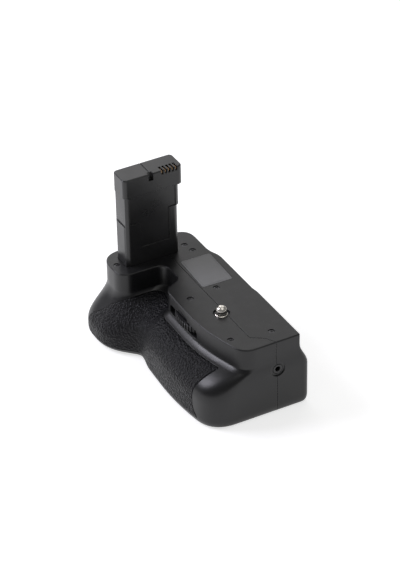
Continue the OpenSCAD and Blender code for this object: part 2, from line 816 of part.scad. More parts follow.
module wheel_carrier() {
  color("#4a4b4e")
    difference() {
      union() {
        translate([0, 0, carrier_z])
          linear_extrude(carrier_t)
            hull()
              for (at = concat(carrier_posts, [[wheel_x, wheel_y]]))
                translate(at)
                  circle(r = post_r + 0.6, $fn = 32);
        for (at = carrier_posts)
          rod(at, post_r, [carrier_z, plate_z]);
      }
      rod([wheel_x, wheel_y], axle_r, [0, body_h]);
      for (at = carrier_posts)
        rod(at, screw_r + set_gap, [0, body_h]);
    }
}
module carrier_screws() {
  color("#57575a")
    for (at = carrier_posts)
      rising_screw(at, carrier_screw_l, carrier_z);
}
rib_depth = 0.6;
rib_step = 360 / wheel_ribs;
wheel_outline = [for (i = [0 : wheel_ribs - 1], j = [0 : 3])
  let (r = wheel_r - (j < 2 ? 0 : rib_depth), a = (i + [0, 0.45, 0.6, 0.85][j]) * rib_step)
  [r * cos(a), r * sin(a)]];
module thumbwheel() {
  color("#1f2022")
    difference() {
      translate([wheel_x, wheel_y, 0])
        union() {
          translate([0, 0, wheel_bottom])
            linear_extrude(wheel_t)
              polygon(wheel_outline);
          rod([0, 0], hub_r, [wheel_top - 0.5, gear_z + 0.5]);
          gear(gear_turn + 180);
        }
      rod([wheel_x, wheel_y], axle_r + fit, [0, body_h]);
    }
}
module wheel_axle() {
  color("#b5b7ba")
    rod([wheel_x, wheel_y], axle_r, [carrier_z, under_top]);
}

// Remote jack in its bracket
bracket_t = 1.6;
bracket_in = 6.5;
bracket_x = base_right - bracket_in;
bracket_xs = [jack_screws[1].x - 3.5, bracket_x];
bracket_ys = [-4, jack_screws[0].y + 3];
bracket_tab = 1.4;
jack_body = 7;
jack_body_l = 8;
jack_deep = 9;
nut_t = 2;
nut_w = 1.6;
nut_r = jack_r + nut_w;
module jack_bracket() {
  color("#8f9194")
    difference() {
      union() {
        box(bracket_xs, bracket_ys, [under_top - bracket_t, under_top]);
        box([bracket_xs[0], jack_screws[1].x + bracket_tab],
          [jack_screws[1].y - bracket_tab, bracket_ys[0] + 1], [under_top - bracket_t, under_top]);
        box([bracket_x - bracket_t, bracket_x], [jack_y - 5, jack_y + 5],
          [jack_z - 5, under_top]);
      }
      for (at = jack_screws)
        rod(at, screw_r, [0, body_h]);
      rod_x(jack_y, jack_z, jack_r, [bracket_x - 3, bracket_x + 1]);
    }
}
module cable_jack() {
  color("#1b1b1d")
    difference() {
      union() {
        rod_x(jack_y, jack_z, jack_r, [bracket_x - bracket_t - nut_t, jack_face]);
        box([bracket_x - bracket_t - nut_t - jack_body_l, bracket_x - bracket_t - nut_t],
          [jack_y - jack_body / 2, jack_y + jack_body / 2],
          [jack_z - jack_body / 2, jack_z + jack_body / 2]);
      }
      rod_x(jack_y, jack_z, jack_hole_r, [jack_face - jack_deep, jack_face + 1]);
    }
}
module jack_nut() {
  color("#c4c5c7")
    difference() {
      translate([bracket_x - bracket_t - nut_t, jack_y, jack_z])
        rotate([0, 90, 0])
          cylinder(r = nut_r, h = nut_t, $fn = 6);
      rod_x(jack_y, jack_z, jack_r, [0, base_right]);
    }
}

// Bay for two batteries: a tray, the roof that carries the board, and the frame of the door
slot_xs = [[bay_x - bay_wall / 2 - slot_w, bay_x - bay_wall / 2],
  [bay_x + bay_wall / 2, bay_x + bay_wall / 2 + slot_w]];
end_wall_h = 7;
end_lean = 3.8;
upper_front = bay_front + end_lean;
foot = 4;
foot_in = 1;
foot_xs = [bay_xs[0] + foot_in, bay_xs[1] - foot_in - foot];
foot_ys = [bay_front + foot_in, frame_y - foot_in - foot];
standoff_h = 3;
board_z = bay_top + standoff_h;
board_t = 1.6;
board_xs = [-38, 18];
board_ys = [-13, 24];
standoff_r = 2;
standoffs = [for (x = [board_xs[0] + 3, board_xs[1] - 3], y = [board_ys[0] + 3, board_ys[1] - 3])
  [x, y]];
board_screw_l = 4;
window_z = [bay_top + 0.05, door_top - 0.2];
latch_x = -12;
neck_w = 4;
neck_x = latch_x + 3;
head_w = neck_w + latch_travel / 2 + 0.5;
neck_z = [bay_top + 0.3, bay_top + 1.5];
window_xs = [neck_x - run_gap, neck_x + neck_w + latch_travel + run_gap];
contact_w = 1.6;
contact_lift = 2;
contact_h = 3.5;
contact_step = 4;
contact_proud = 1;
contact_z = [slot_z + contact_lift, slot_z + contact_lift + contact_h];
contact_ends = [bay_front - contact_proud, bay_front + bay_wall + contact_proud];
bay_contact_xs = [for (s = slot_xs, i = [-1, 0, 1]) (s[0] + s[1]) / 2 + i * contact_step];
module bay_contact(x) {
  box([x - contact_w / 2, x + contact_w / 2], contact_ends, contact_z);
}
module battery_bay() {
  color("#45464a")
    difference() {
      union() {
        box(bay_xs, [bay_front, frame_y], [bay_z, slot_z + end_wall_h]);
        box(bay_xs, [upper_front, frame_y], [bay_z, slot_top]);
        for (x = foot_xs, y = foot_ys)
          box([x, x + foot], [y, y + foot], [floor_t, slot_z]);
      }
      for (s = slot_xs)
        box(s, [bay_front + bay_wall, frame_y + 1], [slot_z, slot_top + 1]);
      for (x = bay_contact_xs)
        bay_contact(x);
    }
}
module bay_roof() {
  color("#45464a")
    difference() {
      union() {
        box(bay_xs, [upper_front, frame_y], [slot_top, bay_top]);
        for (at = standoffs)
          rod(at, standoff_r, [slot_top, board_z]);
      }
      for (at = standoffs)
        rod(at, screw_r, [board_z + board_t - board_screw_l, board_z + 1]);
    }
}
module door_frame() {
  color("#3f4043")
    difference() {
      union() {
        box(lug_xs, [frame_y, frame_back], [opening_z, frame_top]);
        for (x = [lug_xs[0], lug_xs[1] - lug_w]) {
          rod_x(hinge_y, hinge_z, barrel_r, [x, x + lug_w]);
          box([x, x + lug_w], [frame_y, hinge_y], [hinge_z - barrel_r, hinge_z + barrel_r]);
        }
      }
      for (s = slot_xs)
        box(s, [frame_y - 1, frame_back + 1], [slot_z, slot_top]);
      rod_x(hinge_y, hinge_z, barrel_r + run_gap, [door_xs[0] - run_gap, door_xs[1] + run_gap]);
      rod_x(hinge_y, hinge_z, hinge_pin_r, [lug_xs[0] - 1, lug_xs[1] + 1]);
      box(window_xs, [frame_y - 1, frame_back + 1], window_z);
    }
}
module battery_contacts() {
  color("#c8a860")
    for (x = bay_contact_xs)
      bay_contact(x);
}
latch_h = 4.9;
latch_edge = 0.7;
latch_zs = [door_top - latch_edge - latch_h, door_top - latch_edge];
latch_sink = 0.9;
module battery_door() {
  color("#3a3b3f")
    difference() {
      union() {
        box(door_xs, [base_rear - door_t, base_rear], [hinge_z, door_top]);
        rod_x(hinge_y, hinge_z, barrel_r, door_xs);
      }
      rod_x(hinge_y, hinge_z, hinge_pin_r + fit, [door_xs[0] - 1, door_xs[1] + 1]);
      box([latch_x - run_gap, latch_x + latch_w + latch_travel + run_gap],
        [base_rear - latch_sink, base_rear + 1], [latch_zs[0] - run_gap, latch_zs[1] + run_gap]);
      box([neck_x - run_gap, neck_x + neck_w + latch_travel + run_gap],
        [base_rear - door_t - 1, base_rear], [neck_z[0] - run_gap, neck_z[1] + run_gap]);
    }
}
module hinge_pin() {
  color("#b5b7ba")
    rod_x(hinge_y, hinge_z, hinge_pin_r, lug_xs);
}
latch_proud = 0.6;
latch_ribs = 5;
module door_latch() {
  color("#2a2b2e")
    union() {
      box([latch_x, latch_x + latch_w], [base_rear - latch_sink + fit, base_rear], latch_zs);
      for (i = [0 : latch_ribs - 1])
        translate([latch_x + (i + 0.5) * latch_w / latch_ribs - 0.5, 0, 0])
          box([0, 1], [base_rear - fit, base_rear + latch_proud], [latch_zs[0] + 0.6, latch_zs[1] - 0.6]);
      box([neck_x, neck_x + neck_w], [frame_y - run_gap - 1, base_rear - latch_sink + 0.5], neck_z);
      box([neck_x, neck_x + head_w], [frame_y - run_gap - 1.2, frame_y - run_gap], neck_z);
    }
}
module main_board() {
  color("#2f6b45")
    difference() {
      union() {
        box(board_xs, board_ys, [board_z, board_z + board_t]);
        box([-14, -5], [-2, 7], [board_z, board_z + board_t + 1.2]);
        box([4, 9], [6, 14], [board_z, board_z + board_t + 1]);
      }
      for (at = standoffs)
        rod(at, screw_r, [0, body_h]);
    }
}
module board_screws() {
  color("#c4c5c7")
    for (at = standoffs)
      raised_screw(at, board_screw_l, board_z + board_t);
}

// Shutter button in its housing, with the lock ring around it
pocket = 4.2;
pocket_x = housing_face + pocket;
pocket_floor = 2.8;
housing_back = pocket_x + pocket_floor;
stem_r = 1.6;
stem_out = 0.4;
stem_end = housing_back + stem_out;
plunger_gap = 0.1;
plunger_x = stem_end + button_travel + plunger_gap;
plunger_r = 1.7;
plunger_l = 0.6;
switch_x = plunger_x + plunger_l;
switch_t = 2.5;
switch_w = 6;
board_x = switch_x + switch_t;
prong_y = 7;
prong_r = 1.4;
lip_w = 1.3;
lip_t = 1.2;
module shutter_housing() {
  color("#2b2c2f")
    difference() {
      union() {
        rod_x(shutter_y, shutter_z, housing_r, [housing_face, housing_back]);
        rod_x(shutter_y, shutter_z, housing_r + lip_w, [flange_x, flange_x + lip_t]);
        for (s = [-1, 1])
          rod_x(shutter_y + s * prong_y, shutter_z, prong_r, [housing_back - 0.5, board_x]);
      }
      rod_x(shutter_y, shutter_z, ring_r + fit, [housing_face - 1, pocket_x]);
      rod_x(shutter_y, shutter_z, stem_r + fit, [pocket_x - 1, housing_back + 1]);
    }
}
ring_proud = 1.2;
ring_face = housing_face - ring_proud;
lever_over = 0.8;
lever_proud = 0.5;
lever_r = housing_r + lever_over;
lever_w = 3.2;
module lock_ring() {
  color("#8e9094")
    difference() {
      union() {
        rod_x(shutter_y, shutter_z, ring_r, [ring_face, pocket_x - fit]);
        box([ring_face - lever_proud, housing_face - run_gap],
          [shutter_y - lever_w / 2, shutter_y + lever_w / 2],
          [shutter_z + button_r + 1, shutter_z + lever_r]);
      }
      rod_x(shutter_y, shutter_z, button_r + run_gap, [ring_face - 2, pocket_x + 1]);
    }
}
button_proud = 0.6;
button_face = ring_face - button_proud;
button_t = 2.2;
module shutter_button() {
  color("#c9cacd")
    union() {
      rod_x(shutter_y, shutter_z, button_r, [button_face, button_face + button_t]);
      rod_x(shutter_y, shutter_z, stem_r, [button_face + button_t - 0.5, stem_end]);
    }
}
coil_r = 3.1;
wire_r = 0.25;
coil_turns = 3;
coil_sides = 6;
coil_rings = 16 * coil_turns;
coil_xs = [button_face + button_t + wire_r, pocket_x - wire_r];
coil_points = [for (k = [0 : coil_rings], j = [0 : coil_sides - 1])
  let (a = 360 * coil_turns * k / coil_rings, b = 360 * j / coil_sides, r = coil_r + wire_r * cos(b))
  [mix(coil_xs[0], coil_xs[1], k / coil_rings) + wire_r * sin(b),
    shutter_y + r * cos(a), shutter_z + r * sin(a)]];
module shutter_spring() {
  n = coil_sides;
  color("#cfd0d2")
    polyhedron(points = coil_points, faces = concat(
      [for (k = [0 : coil_rings - 1], j = [0 : n - 1])
        let (a = k * n + j, b = k * n + (j + 1) % n)
        each [[a, b, b + n], [a, b + n, a + n]]],
      [[for (j = [n - 1 : -1 : 0]) j]],
      [[for (j = [0 : n - 1]) coil_rings * n + j]]));
}
small_board = [1.2, 2 * prong_y + 5, 11];
module switch_board() {
  color("#2f6b45")
    translate([board_x + small_board.x / 2, shutter_y, shutter_z])
      cube(small_board, center = true);
}
module shutter_switch() {
  color("#9a9c9f")
    union() {
      translate([switch_x + switch_t / 2, shutter_y, shutter_z])
        cube([switch_t, switch_w, switch_w], center = true);
      rod_x(shutter_y, shutter_z, plunger_r, [plunger_x, switch_x + 0.5]);
    }
}

front_shell();
rear_shell();
base_plate();
base_screws();
tripod_socket();
grip_pad();
battery_tower();
tower_cap();
tower_contacts();
label_plate();
case_screws();
tripod_stud();
stud_gear();
stud_bush();
gear_plate();
wheel_carrier();
carrier_screws();
thumbwheel();
wheel_axle();
jack_bracket();
cable_jack();
jack_nut();
battery_bay();
bay_roof();
door_frame();
battery_contacts();
battery_door();
hinge_pin();
door_latch();
main_board();
board_screws();
shutter_housing();
lock_ring();
shutter_button();
shutter_spring();
switch_board();
shutter_switch();
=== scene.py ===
import bpy
import bmesh
import json
import math
from mathutils import Matrix, Vector, noise


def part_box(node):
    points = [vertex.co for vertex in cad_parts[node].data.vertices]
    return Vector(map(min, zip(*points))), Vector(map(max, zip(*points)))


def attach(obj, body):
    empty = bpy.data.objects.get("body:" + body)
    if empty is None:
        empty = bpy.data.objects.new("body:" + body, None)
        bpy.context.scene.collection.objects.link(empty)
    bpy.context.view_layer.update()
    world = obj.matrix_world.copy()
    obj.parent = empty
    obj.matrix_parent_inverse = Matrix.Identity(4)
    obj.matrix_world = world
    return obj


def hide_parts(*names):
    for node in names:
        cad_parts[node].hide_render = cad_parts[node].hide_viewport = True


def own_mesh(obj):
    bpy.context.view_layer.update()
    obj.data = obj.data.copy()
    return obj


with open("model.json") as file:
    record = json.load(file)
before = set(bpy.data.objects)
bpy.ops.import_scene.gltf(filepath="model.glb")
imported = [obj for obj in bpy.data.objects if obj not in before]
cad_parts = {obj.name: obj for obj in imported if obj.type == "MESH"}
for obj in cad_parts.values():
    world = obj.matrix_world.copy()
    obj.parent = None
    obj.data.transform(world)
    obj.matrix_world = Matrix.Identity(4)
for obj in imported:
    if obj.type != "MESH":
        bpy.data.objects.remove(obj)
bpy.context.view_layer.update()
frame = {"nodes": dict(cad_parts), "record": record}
scene = bpy.context.scene
scene.view_settings.view_transform = "Standard"
mm = 0.001  # pieces are drawn in millimetres and scaled once, when they are set in place
nodeBox = {name: [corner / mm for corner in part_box(name)] for name in frame["nodes"]}
print("frame loaded,", len(nodeBox), "nodes")


def placed(name, data):
    obj = bpy.data.objects.new(name, data)
    scene.collection.objects.link(obj)
    return obj


# node tools

def feed(tree, socket, value):
    if isinstance(value, bpy.types.NodeSocket):
        tree.links.new(value, socket)
    else:
        socket.default_value = value


def addNode(tree, kind, inputs, **settings):
    node = tree.nodes.new("ShaderNode" + kind)
    for key, value in settings.items():
        setattr(node, key, value)
    for key, value in inputs.items():
        feed(tree, node.inputs[key], value)
    return node


def calc(tree, how, first, second):
    return addNode(tree, "Math", {0: first, 1: second}, operation=how).outputs[0]


def remap(tree, value, low, high, toLow=0.0, toHigh=1.0):
    inputs = {"Value": value, "From Min": low, "From Max": high, "To Min": toLow, "To Max": toHigh}
    return addNode(tree, "MapRange", inputs).outputs["Result"]


def objectPlace(tree):
    return tree.nodes.new("ShaderNodeTexCoord").outputs["Object"]


def trueNormal(tree):
    return tree.nodes.new("ShaderNodeNewGeometry").outputs["Normal"]


def noiseOf(tree, scale, detail, vector=None):
    inputs = {"Scale": scale, "Detail": detail, "Vector": objectPlace(tree) if vector is None else vector}
    return addNode(tree, "TexNoise", inputs).outputs["Fac"]


def blendColours(tree, share, first, second):
    first, second = ((*value, 1) if isinstance(value, tuple) else value for value in (first, second))
    return addNode(tree, "Mix", {"Factor": share, 6: first, 7: second}, data_type="RGBA").outputs[2]


def startFinish(name, look):
    finish = bpy.data.materials.new(name)
    finish.use_nodes = True
    tree = finish.node_tree
    shader = tree.nodes["Principled BSDF"].inputs
    shader["Specular IOR Level"].default_value = look.get("gloss", 0.5)
    shader["Metallic"].default_value = look.get("metal", 0.0)
    return finish, tree, shader


# camera, floor and light

cameraView = {
    "azimuth": 62.0, "elevation": 34.84, "roll": -1.23,
    "distance": 1388.9, "across": -11.944, "upward": 15.556,
    "focalPixels": 2500.0, "frameHeight": 570, "sensor": 36.0, "aimHeight": 47.0,
}


def placeCamera(view):
    turn, lift, roll = (math.radians(view[key]) for key in ("azimuth", "elevation", "roll"))
    back = Vector((math.sin(turn) * math.cos(lift), -math.cos(turn) * math.cos(lift), math.sin(lift)))
    level = Vector((math.cos(turn), math.sin(turn), 0))
    upright = back.cross(level)
    right = level * math.cos(roll) + upright * math.sin(roll)
    above = upright * math.cos(roll) - level * math.sin(roll)
    spot = back * view["distance"] + right * view["across"] + above * view["upward"]
    spot.z += view["aimHeight"]
    camera = placed("photoCamera", bpy.data.cameras.new("photoCamera"))
    camera.data.sensor_width = view["sensor"]
    camera.data.lens = view["focalPixels"] / view["frameHeight"] * view["sensor"]
    camera.matrix_world = Matrix.Translation(spot * mm) @ Matrix((right, above, back)).transposed().to_4x4()
    scene.camera = camera


studio = {
    "ambient": 0.20, "white": (1, 1, 1, 1),
    "floorSide": 16.0, "floorDrop": 0.0002, "floorRough": 0.9,
    "floorColour": (0.70, 0.70, 0.70, 1), "floorGlow": 0.66,
    "target": (-0.022, -0.004, 0.035),
    "lamps": [  # name, place in metres, side, watts, colour
        ("frontLeftBox", (-0.70, -0.82, 0.94), 0.60, 11.0, (0.91, 0.90, 1.0)),
        ("rearPanel", (-1.10, 0.58, 0.90), 1.40, 4.6, (1.0, 0.99, 0.98)),
        ("overheadBox", (0.30, 0.20, 1.30), 0.90, 2.2, (1.0, 0.99, 0.97)),
        ("leftPanel", (-1.10, -0.02, 0.46), 0.90, 2.4, (0.96, 0.96, 1.0)),
    ],
}


def setLights(look):
    scene.world = bpy.data.worlds.new("studioWorld")
    scene.world.use_nodes = True
    sky = scene.world.node_tree.nodes["Background"].inputs
    sky["Color"].default_value = look["white"]
    sky["Strength"].default_value = look["ambient"]
    for name, spot, side, watts, colour in look["lamps"]:
        lamp = bpy.data.lights.new(name, "AREA")
        lamp.size, lamp.energy, lamp.color = side, watts, colour
        holder = placed(name, lamp)
        holder.location = spot
        aim = Vector(look["target"]) - holder.location
        holder.rotation_euler = aim.to_track_quat("-Z", "Y").to_euler()


def setFloor(look):
    half = look["floorSide"] / 2
    mesh = bpy.data.meshes.new("paleFloor")
    corners = [(-half, -half), (half, -half), (half, half), (-half, half)]
    mesh.from_pydata([(x, y, -look["floorDrop"]) for x, y in corners], [], [(0, 1, 2, 3)])
    floor = placed("paleFloor", mesh)
    paint, tree, shader = startFinish("paleFloor", {"gloss": 0.0})
    rays = tree.nodes.new("ShaderNodeLightPath").outputs
    seen = calc(tree, "MAXIMUM", rays["Is Camera Ray"], rays["Is Glossy Ray"])
    seen = calc(tree, "MAXIMUM", seen, rays["Is Transmission Ray"])  # the glow is seen, but lights nothing
    feed(tree, shader["Base Color"], look["floorColour"])
    feed(tree, shader["Roughness"], look["floorRough"])
    feed(tree, shader["Emission Color"], look["white"])
    feed(tree, shader["Emission Strength"], calc(tree, "MULTIPLY", seen, look["floorGlow"]))
    mesh.materials.append(paint)


placeCamera(cameraView)
setLights(studio)
setFloor(studio)
print("camera and studio set")


# shared shader groups

groupLook = {
    "cellShare": 0.7, "fineDetail": 2.0, "mottleDetail": 5.0,
    "edgeCosines": (0.99, 0.8), "breakup": (0.38, 0.62), "breakupDetail": 4.0, "edgeSamples": 4,
    "level": (0.4, 1.0), "filmScale": 120.0, "film": (0.45, 0.75), "filmShare": 0.4, "specks": (0.70, 0.78),
}


def startGroup(name, inputs, outputs):
    tree = bpy.data.node_groups.new(name, "ShaderNodeTree")
    for label, value in inputs.items():
        socket = tree.interface.new_socket(label, in_out="INPUT", socket_type="NodeSocketFloat")
        socket.default_value = value
    for label, kind in outputs.items():
        tree.interface.new_socket(label, in_out="OUTPUT", socket_type="NodeSocket" + kind)
    return tree, tree.nodes.new("NodeGroupInput").outputs, tree.nodes.new("NodeGroupOutput").inputs


def makeMouldGrain(look=groupLook):
    tree, given, made = startGroup(
        "mouldGrain", {"Scale": 2600.0, "Mottle Scale": 70.0}, {"Height": "Float", "Mottle": "Float"})
    fine = noiseOf(tree, given["Scale"], look["fineDetail"])
    cellScale = calc(tree, "MULTIPLY", given["Scale"], look["cellShare"])
    cells = addNode(tree, "TexVoronoi", {"Vector": objectPlace(tree), "Scale": cellScale})
    feed(tree, made["Height"], calc(tree, "ADD", fine, cells.outputs["Distance"]))
    feed(tree, made["Mottle"], noiseOf(tree, given["Mottle Scale"], look["mottleDetail"]))
    return tree


# edge mask for rubbed wear and a painted highlight: the lighter edge colour stands in for light caught on
# rounded rims
def makeEdgeWearHighlight(look=groupLook):
    tree, given, made = startGroup(
        "edgeWearHighlight", {"Radius": 0.0003, "Breakup Scale": 420.0}, {"Mask": "Float", "Normal": "Vector"})
    soft = addNode(tree, "Bevel", {"Radius": given["Radius"]}, samples=look["edgeSamples"]).outputs["Normal"]
    turn = addNode(tree, "VectorMath", {0: soft, 1: trueNormal(tree)}, operation="DOT_PRODUCT")
    edge = remap(tree, turn.outputs["Value"], *look["edgeCosines"])
    broken = remap(tree, noiseOf(tree, given["Breakup Scale"], look["breakupDetail"]), *look["breakup"])
    feed(tree, made["Mask"], calc(tree, "MULTIPLY", edge, broken))
    feed(tree, made["Normal"], soft)
    return tree


def makeSettledDust(look=groupLook):
    tree, given, made = startGroup("settledDust", {"Amount": 0.2, "Speck Scale": 900.0}, {"Mask": "Float"})
    split = addNode(tree, "SeparateXYZ", {0: trueNormal(tree)})
    level = remap(tree, split.outputs["Z"], *look["level"])
    film = remap(tree, noiseOf(tree, look["filmScale"], look["mottleDetail"]), *look["film"])
    specks = remap(tree, noiseOf(tree, given["Speck Scale"], 1.0), *look["specks"])
    both = calc(tree, "MAXIMUM", calc(tree, "MULTIPLY", film, look["filmShare"]), specks)
    lying = calc(tree, "MULTIPLY", both, level)
    feed(tree, made["Mask"], calc(tree, "MULTIPLY", lying, given["Amount"]))
    return tree


shadeGroups = {"grain": makeMouldGrain(), "wear": makeEdgeWearHighlight(), "dust": makeSettledDust()}


def useGroup(tree, key, **values):
    node = tree.nodes.new("ShaderNodeGroup")
    node.node_tree = shadeGroups[key]
    for label, value in values.items():
        node.inputs[label.replace("_", " ")].default_value = value
    return node.outputs


# finishes

mottleRange = (0.3, 0.7)
dustColour = (0.42, 0.42, 0.41)
rubbedSmooth = 0.12  # how much roughness full wear takes away


def moulded(tree, look, grain):
    mottle = remap(tree, grain["Mottle"], *mottleRange)
    colour = blendColours(tree, mottle, look["colour"], look["shade"])
    return colour, remap(tree, grain["Mottle"], *mottleRange, *look["roughness"]), grain["Height"]


def leather(tree, look, grain):
    place = objectPlace(tree)
    drift = addNode(tree, "TexNoise", {"Scale": look["driftScale"], "Vector": place}).outputs["Color"]
    pull = addNode(tree, "VectorMath", {0: drift, 1: (look["drift"] * mm,) * 3, 2: place},
                   operation="MULTIPLY_ADD").outputs[0]
    shape = {"Scale": look["pebbleScale"], "Smoothness": look["smoothness"], "Vector": pull}
    pebble = addNode(tree, "TexVoronoi", shape, feature="SMOOTH_F1").outputs["Distance"]
    crown = remap(tree, pebble, *look["crown"])
    height = calc(tree, "ADD", crown, calc(tree, "MULTIPLY", grain["Height"], look["poreShare"]))
    # painted shade: the pebble creases are darker, mixed with random mottle
    tint = calc(tree, "MULTIPLY", crown, remap(tree, grain["Mottle"], *mottleRange, *look["tint"]))
    colour = blendColours(tree, tint, look["crease"], look["colour"])
    return colour, remap(tree, crown, 0.0, 1.0, *look["roughness"]), height


def metal(tree, look, grain):
    stretch = addNode(tree, "Mapping", {"Scale": look["brush"], "Vector": objectPlace(tree)})
    streak = noiseOf(tree, look["streakScale"], look["streakDetail"], stretch.outputs["Vector"])
    share = remap(tree, grain["Mottle"], *look["mottle"])
    colour = blendColours(tree, share, look["colour"], look["shade"])
    return colour, remap(tree, streak, *mottleRange, *look["roughness"]), streak


def board(tree, look, grain):
    inputs = {"Scale": look["trackScale"], "Mortar Size": look["trackWide"], "Vector": objectPlace(tree)}
    tracks = addNode(tree, "TexBrick", inputs).outputs["Fac"]
    colour = blendColours(tree, tracks, look["colour"], look["wornColour"])
    dulled = calc(tree, "MULTIPLY", grain["Mottle"], look["shadeShare"])
    colour = blendColours(tree, dulled, colour, look["shade"])
    return colour, remap(tree, grain["Mottle"], *mottleRange, *look["roughness"]), tracks


def makeFinish(name, kind, look):
    finish, tree, shader = startFinish(name, look)
    grain = useGroup(tree, "grain", Scale=look["grainScale"], Mottle_Scale=look["mottleScale"])
    wear = useGroup(tree, "wear", Radius=look["edge"] * mm)
    wearHighlightMask = calc(tree, "MULTIPLY", wear["Mask"], look["wear"])
    colour, rough, height = kind(tree, look, grain)
    # painted highlight and wear: the colour turns lighter along sharp edges
    colour = blendColours(tree, wearHighlightMask, colour, look["wornColour"])
    if "dust" in look:
        dust = useGroup(tree, "dust", Amount=look["dust"])
        colour = blendColours(tree, dust["Mask"], colour, dustColour)
        rough = calc(tree, "SUBTRACT", rough, calc(tree, "MULTIPLY", wearHighlightMask, rubbedSmooth))
    bump = addNode(tree, "Bump", {"Distance": look["depth"] * mm, "Height": height, "Normal": wear["Normal"]})
    for key, value in (("Base Color", colour), ("Roughness", rough), ("Normal", bump.outputs["Normal"])):
        feed(tree, shader[key], value)
    return finish


mouldedFields = ("colour", "shade", "wornColour", "gloss", "roughness", "grainScale", "depth",
                 "edge", "wear", "dust", "mottleScale")
allMoulded = {"mottleScale": 70.0}
mouldedLooks = {
    # the case's strong edge mask and light edge colour paint the rim highlight along with the wear
    "case_plastic": (
        "casePlastic", (0.0072, 0.0073, 0.0080), (0.0095, 0.0096, 0.0104), (0.11, 0.11, 0.114),
        0.46, (0.30, 0.38), 2600.0, 0.010, 0.4, 0.8, 0.05),
    "base_plastic": (
        "basePlastic", (0.009, 0.009, 0.010), (0.013, 0.013, 0.014), (0.08, 0.08, 0.082),
        0.4, (0.45, 0.58), 1800.0, 0.02, 0.3, 0.7, 0.05),
    "tower_plastic": (
        "towerPlastic", (0.0145, 0.0146, 0.0152), (0.0180, 0.0181, 0.0188), (0.10, 0.10, 0.104),
        0.56, (0.27, 0.34), 3200.0, 0.007, 0.25, 0.45, 0.05),
    "wheel_plastic": (
        "wheelPlastic", (0.010, 0.010, 0.011), (0.014, 0.014, 0.015), (0.09, 0.09, 0.092),
        0.4, (0.34, 0.44), 3000.0, 0.006, 0.2, 0.6, 0.08),
    "inner_plastic": (
        "innerPlastic", (0.030, 0.030, 0.032), (0.040, 0.040, 0.042), (0.09, 0.09, 0.092),
        0.35, (0.45, 0.58), 2000.0, 0.012, 0.2, 0.3, 0.03),
    "jack_plastic": (
        "jackPlastic", (0.008, 0.008, 0.009), (0.012, 0.012, 0.013), (0.06, 0.06, 0.062),
        0.5, (0.22, 0.32), 3000.0, 0.003, 0.15, 0.4, 0.04),
    "label_grey": (
        "labelFoil", (0.166, 0.167, 0.172), (0.188, 0.189, 0.194), (0.34, 0.34, 0.35),
        0.4, (0.36, 0.46), 1500.0, 0.004, 0.08, 0.3, 0.06, 160.0),
}
allMetals = {"metal": 1.0, "edge": 0.15, "wear": 0.4, "streakDetail": 3.0, "grainScale": 1400.0,
             "mottleScale": 110.0, "mottle": (0.35, 0.65)}
metalFields = ("colour", "shade", "wornColour", "roughness", "brush", "streakScale", "depth")
metalLooks = {
    "screw_steel": ("screwSteel", (0.07, 0.07, 0.074), (0.10, 0.10, 0.104), (0.34, 0.34, 0.35),
                    (0.26, 0.40), (1, 1, 1), 1500.0, 0.004),
    # near black: a painted shadow ring around the stud
    "bush_painted_shade": ("bushSteel", (0.045, 0.045, 0.048), (0.06, 0.06, 0.063), (0.24, 0.24, 0.25),
                   (0.32, 0.46), (1, 1, 1), 1200.0, 0.004),
    "plate_steel": ("plateSteel", (0.42, 0.42, 0.43), (0.34, 0.34, 0.35), (0.6, 0.6, 0.61),
                    (0.28, 0.42), (1, 12, 1), 700.0, 0.006),
    "stud_nickel": ("studNickel", (0.86, 0.83, 0.77), (0.80, 0.76, 0.69), (0.86, 0.80, 0.68),
                    (0.18, 0.28), (1, 1, 9), 900.0, 0.002),
    "brass": ("turnedBrass", (0.66, 0.50, 0.22), (0.56, 0.41, 0.17), (0.80, 0.66, 0.38),
              (0.22, 0.38), (1, 1, 10), 800.0, 0.005),
    "contact_metal": ("contactBlades", (0.32, 0.21, 0.11), (0.24, 0.15, 0.08), (0.58, 0.44, 0.26),
                      (0.28, 0.42), (10, 1, 1), 900.0, 0.004),
    "control_metal": ("controlMetal", (0.30, 0.305, 0.315), (0.25, 0.255, 0.265), (0.52, 0.52, 0.53),
                      (0.30, 0.42), (1, 1, 1), 1600.0, 0.003),
}
leatherLook = {
    # crease paints shade into the pebble creases
    "colour": (0.0085, 0.0085, 0.0110), "crease": (0.0030, 0.0030, 0.0042), "wornColour": (0.05, 0.05, 0.056),
    "gloss": 0.24, "roughness": (0.55, 0.24), "pebbleScale": 760.0, "depth": 0.50, "smoothness": 0.2,
    "crown": (0.75, 0.05), "driftScale": 500.0, "drift": 0.15, "grainScale": 4200.0, "poreShare": 0.12,
    "mottleScale": 60.0, "tint": (0.6, 1.0), "edge": 0.3, "wear": 0.3,
}
boardLook = {
    "colour": (0.012, 0.085, 0.035), "shade": (0.006, 0.05, 0.02), "wornColour": (0.03, 0.16, 0.07),
    "gloss": 0.5, "roughness": (0.25, 0.4), "trackScale": 260.0, "trackWide": 0.012, "depth": 0.03,
    "shadeShare": 0.3, "grainScale": 1800.0, "mottleScale": 150.0, "edge": 0.1, "wear": 0.0,
}
finishes = {"grip_rubber": makeFinish("gripRubber", leather, leatherLook),
            "board_green": makeFinish("boardMask", board, boardLook)}
for kind, shared, fields, looks in ((moulded, allMoulded, mouldedFields, mouldedLooks),
                                    (metal, allMetals, metalFields, metalLooks)):
    for slot, (name, *row) in looks.items():
        finishes[slot] = makeFinish(name, kind, {**shared, **dict(zip(fields, row))})
print("finishes made:", len(finishes))


# mesh tools, all in millimetres

past = 1.0  # how far a cutting tool runs past a face
strayCosine = 0.75  # a corner normal turned further than this was led astray beside a cut


def edited(obj, change):
    bm = bmesh.new()
    bm.from_mesh(obj.data)
    change(bm)
    bm.to_mesh(obj.data)
    bm.free()
    return obj


def meshObject(name, verts, faces):
    mesh = bpy.data.meshes.new(name)
    mesh.from_pydata([tuple(v) for v in verts], [], faces)
    return edited(placed(name, mesh), lambda bm: bmesh.ops.recalc_face_normals(bm, faces=bm.faces))


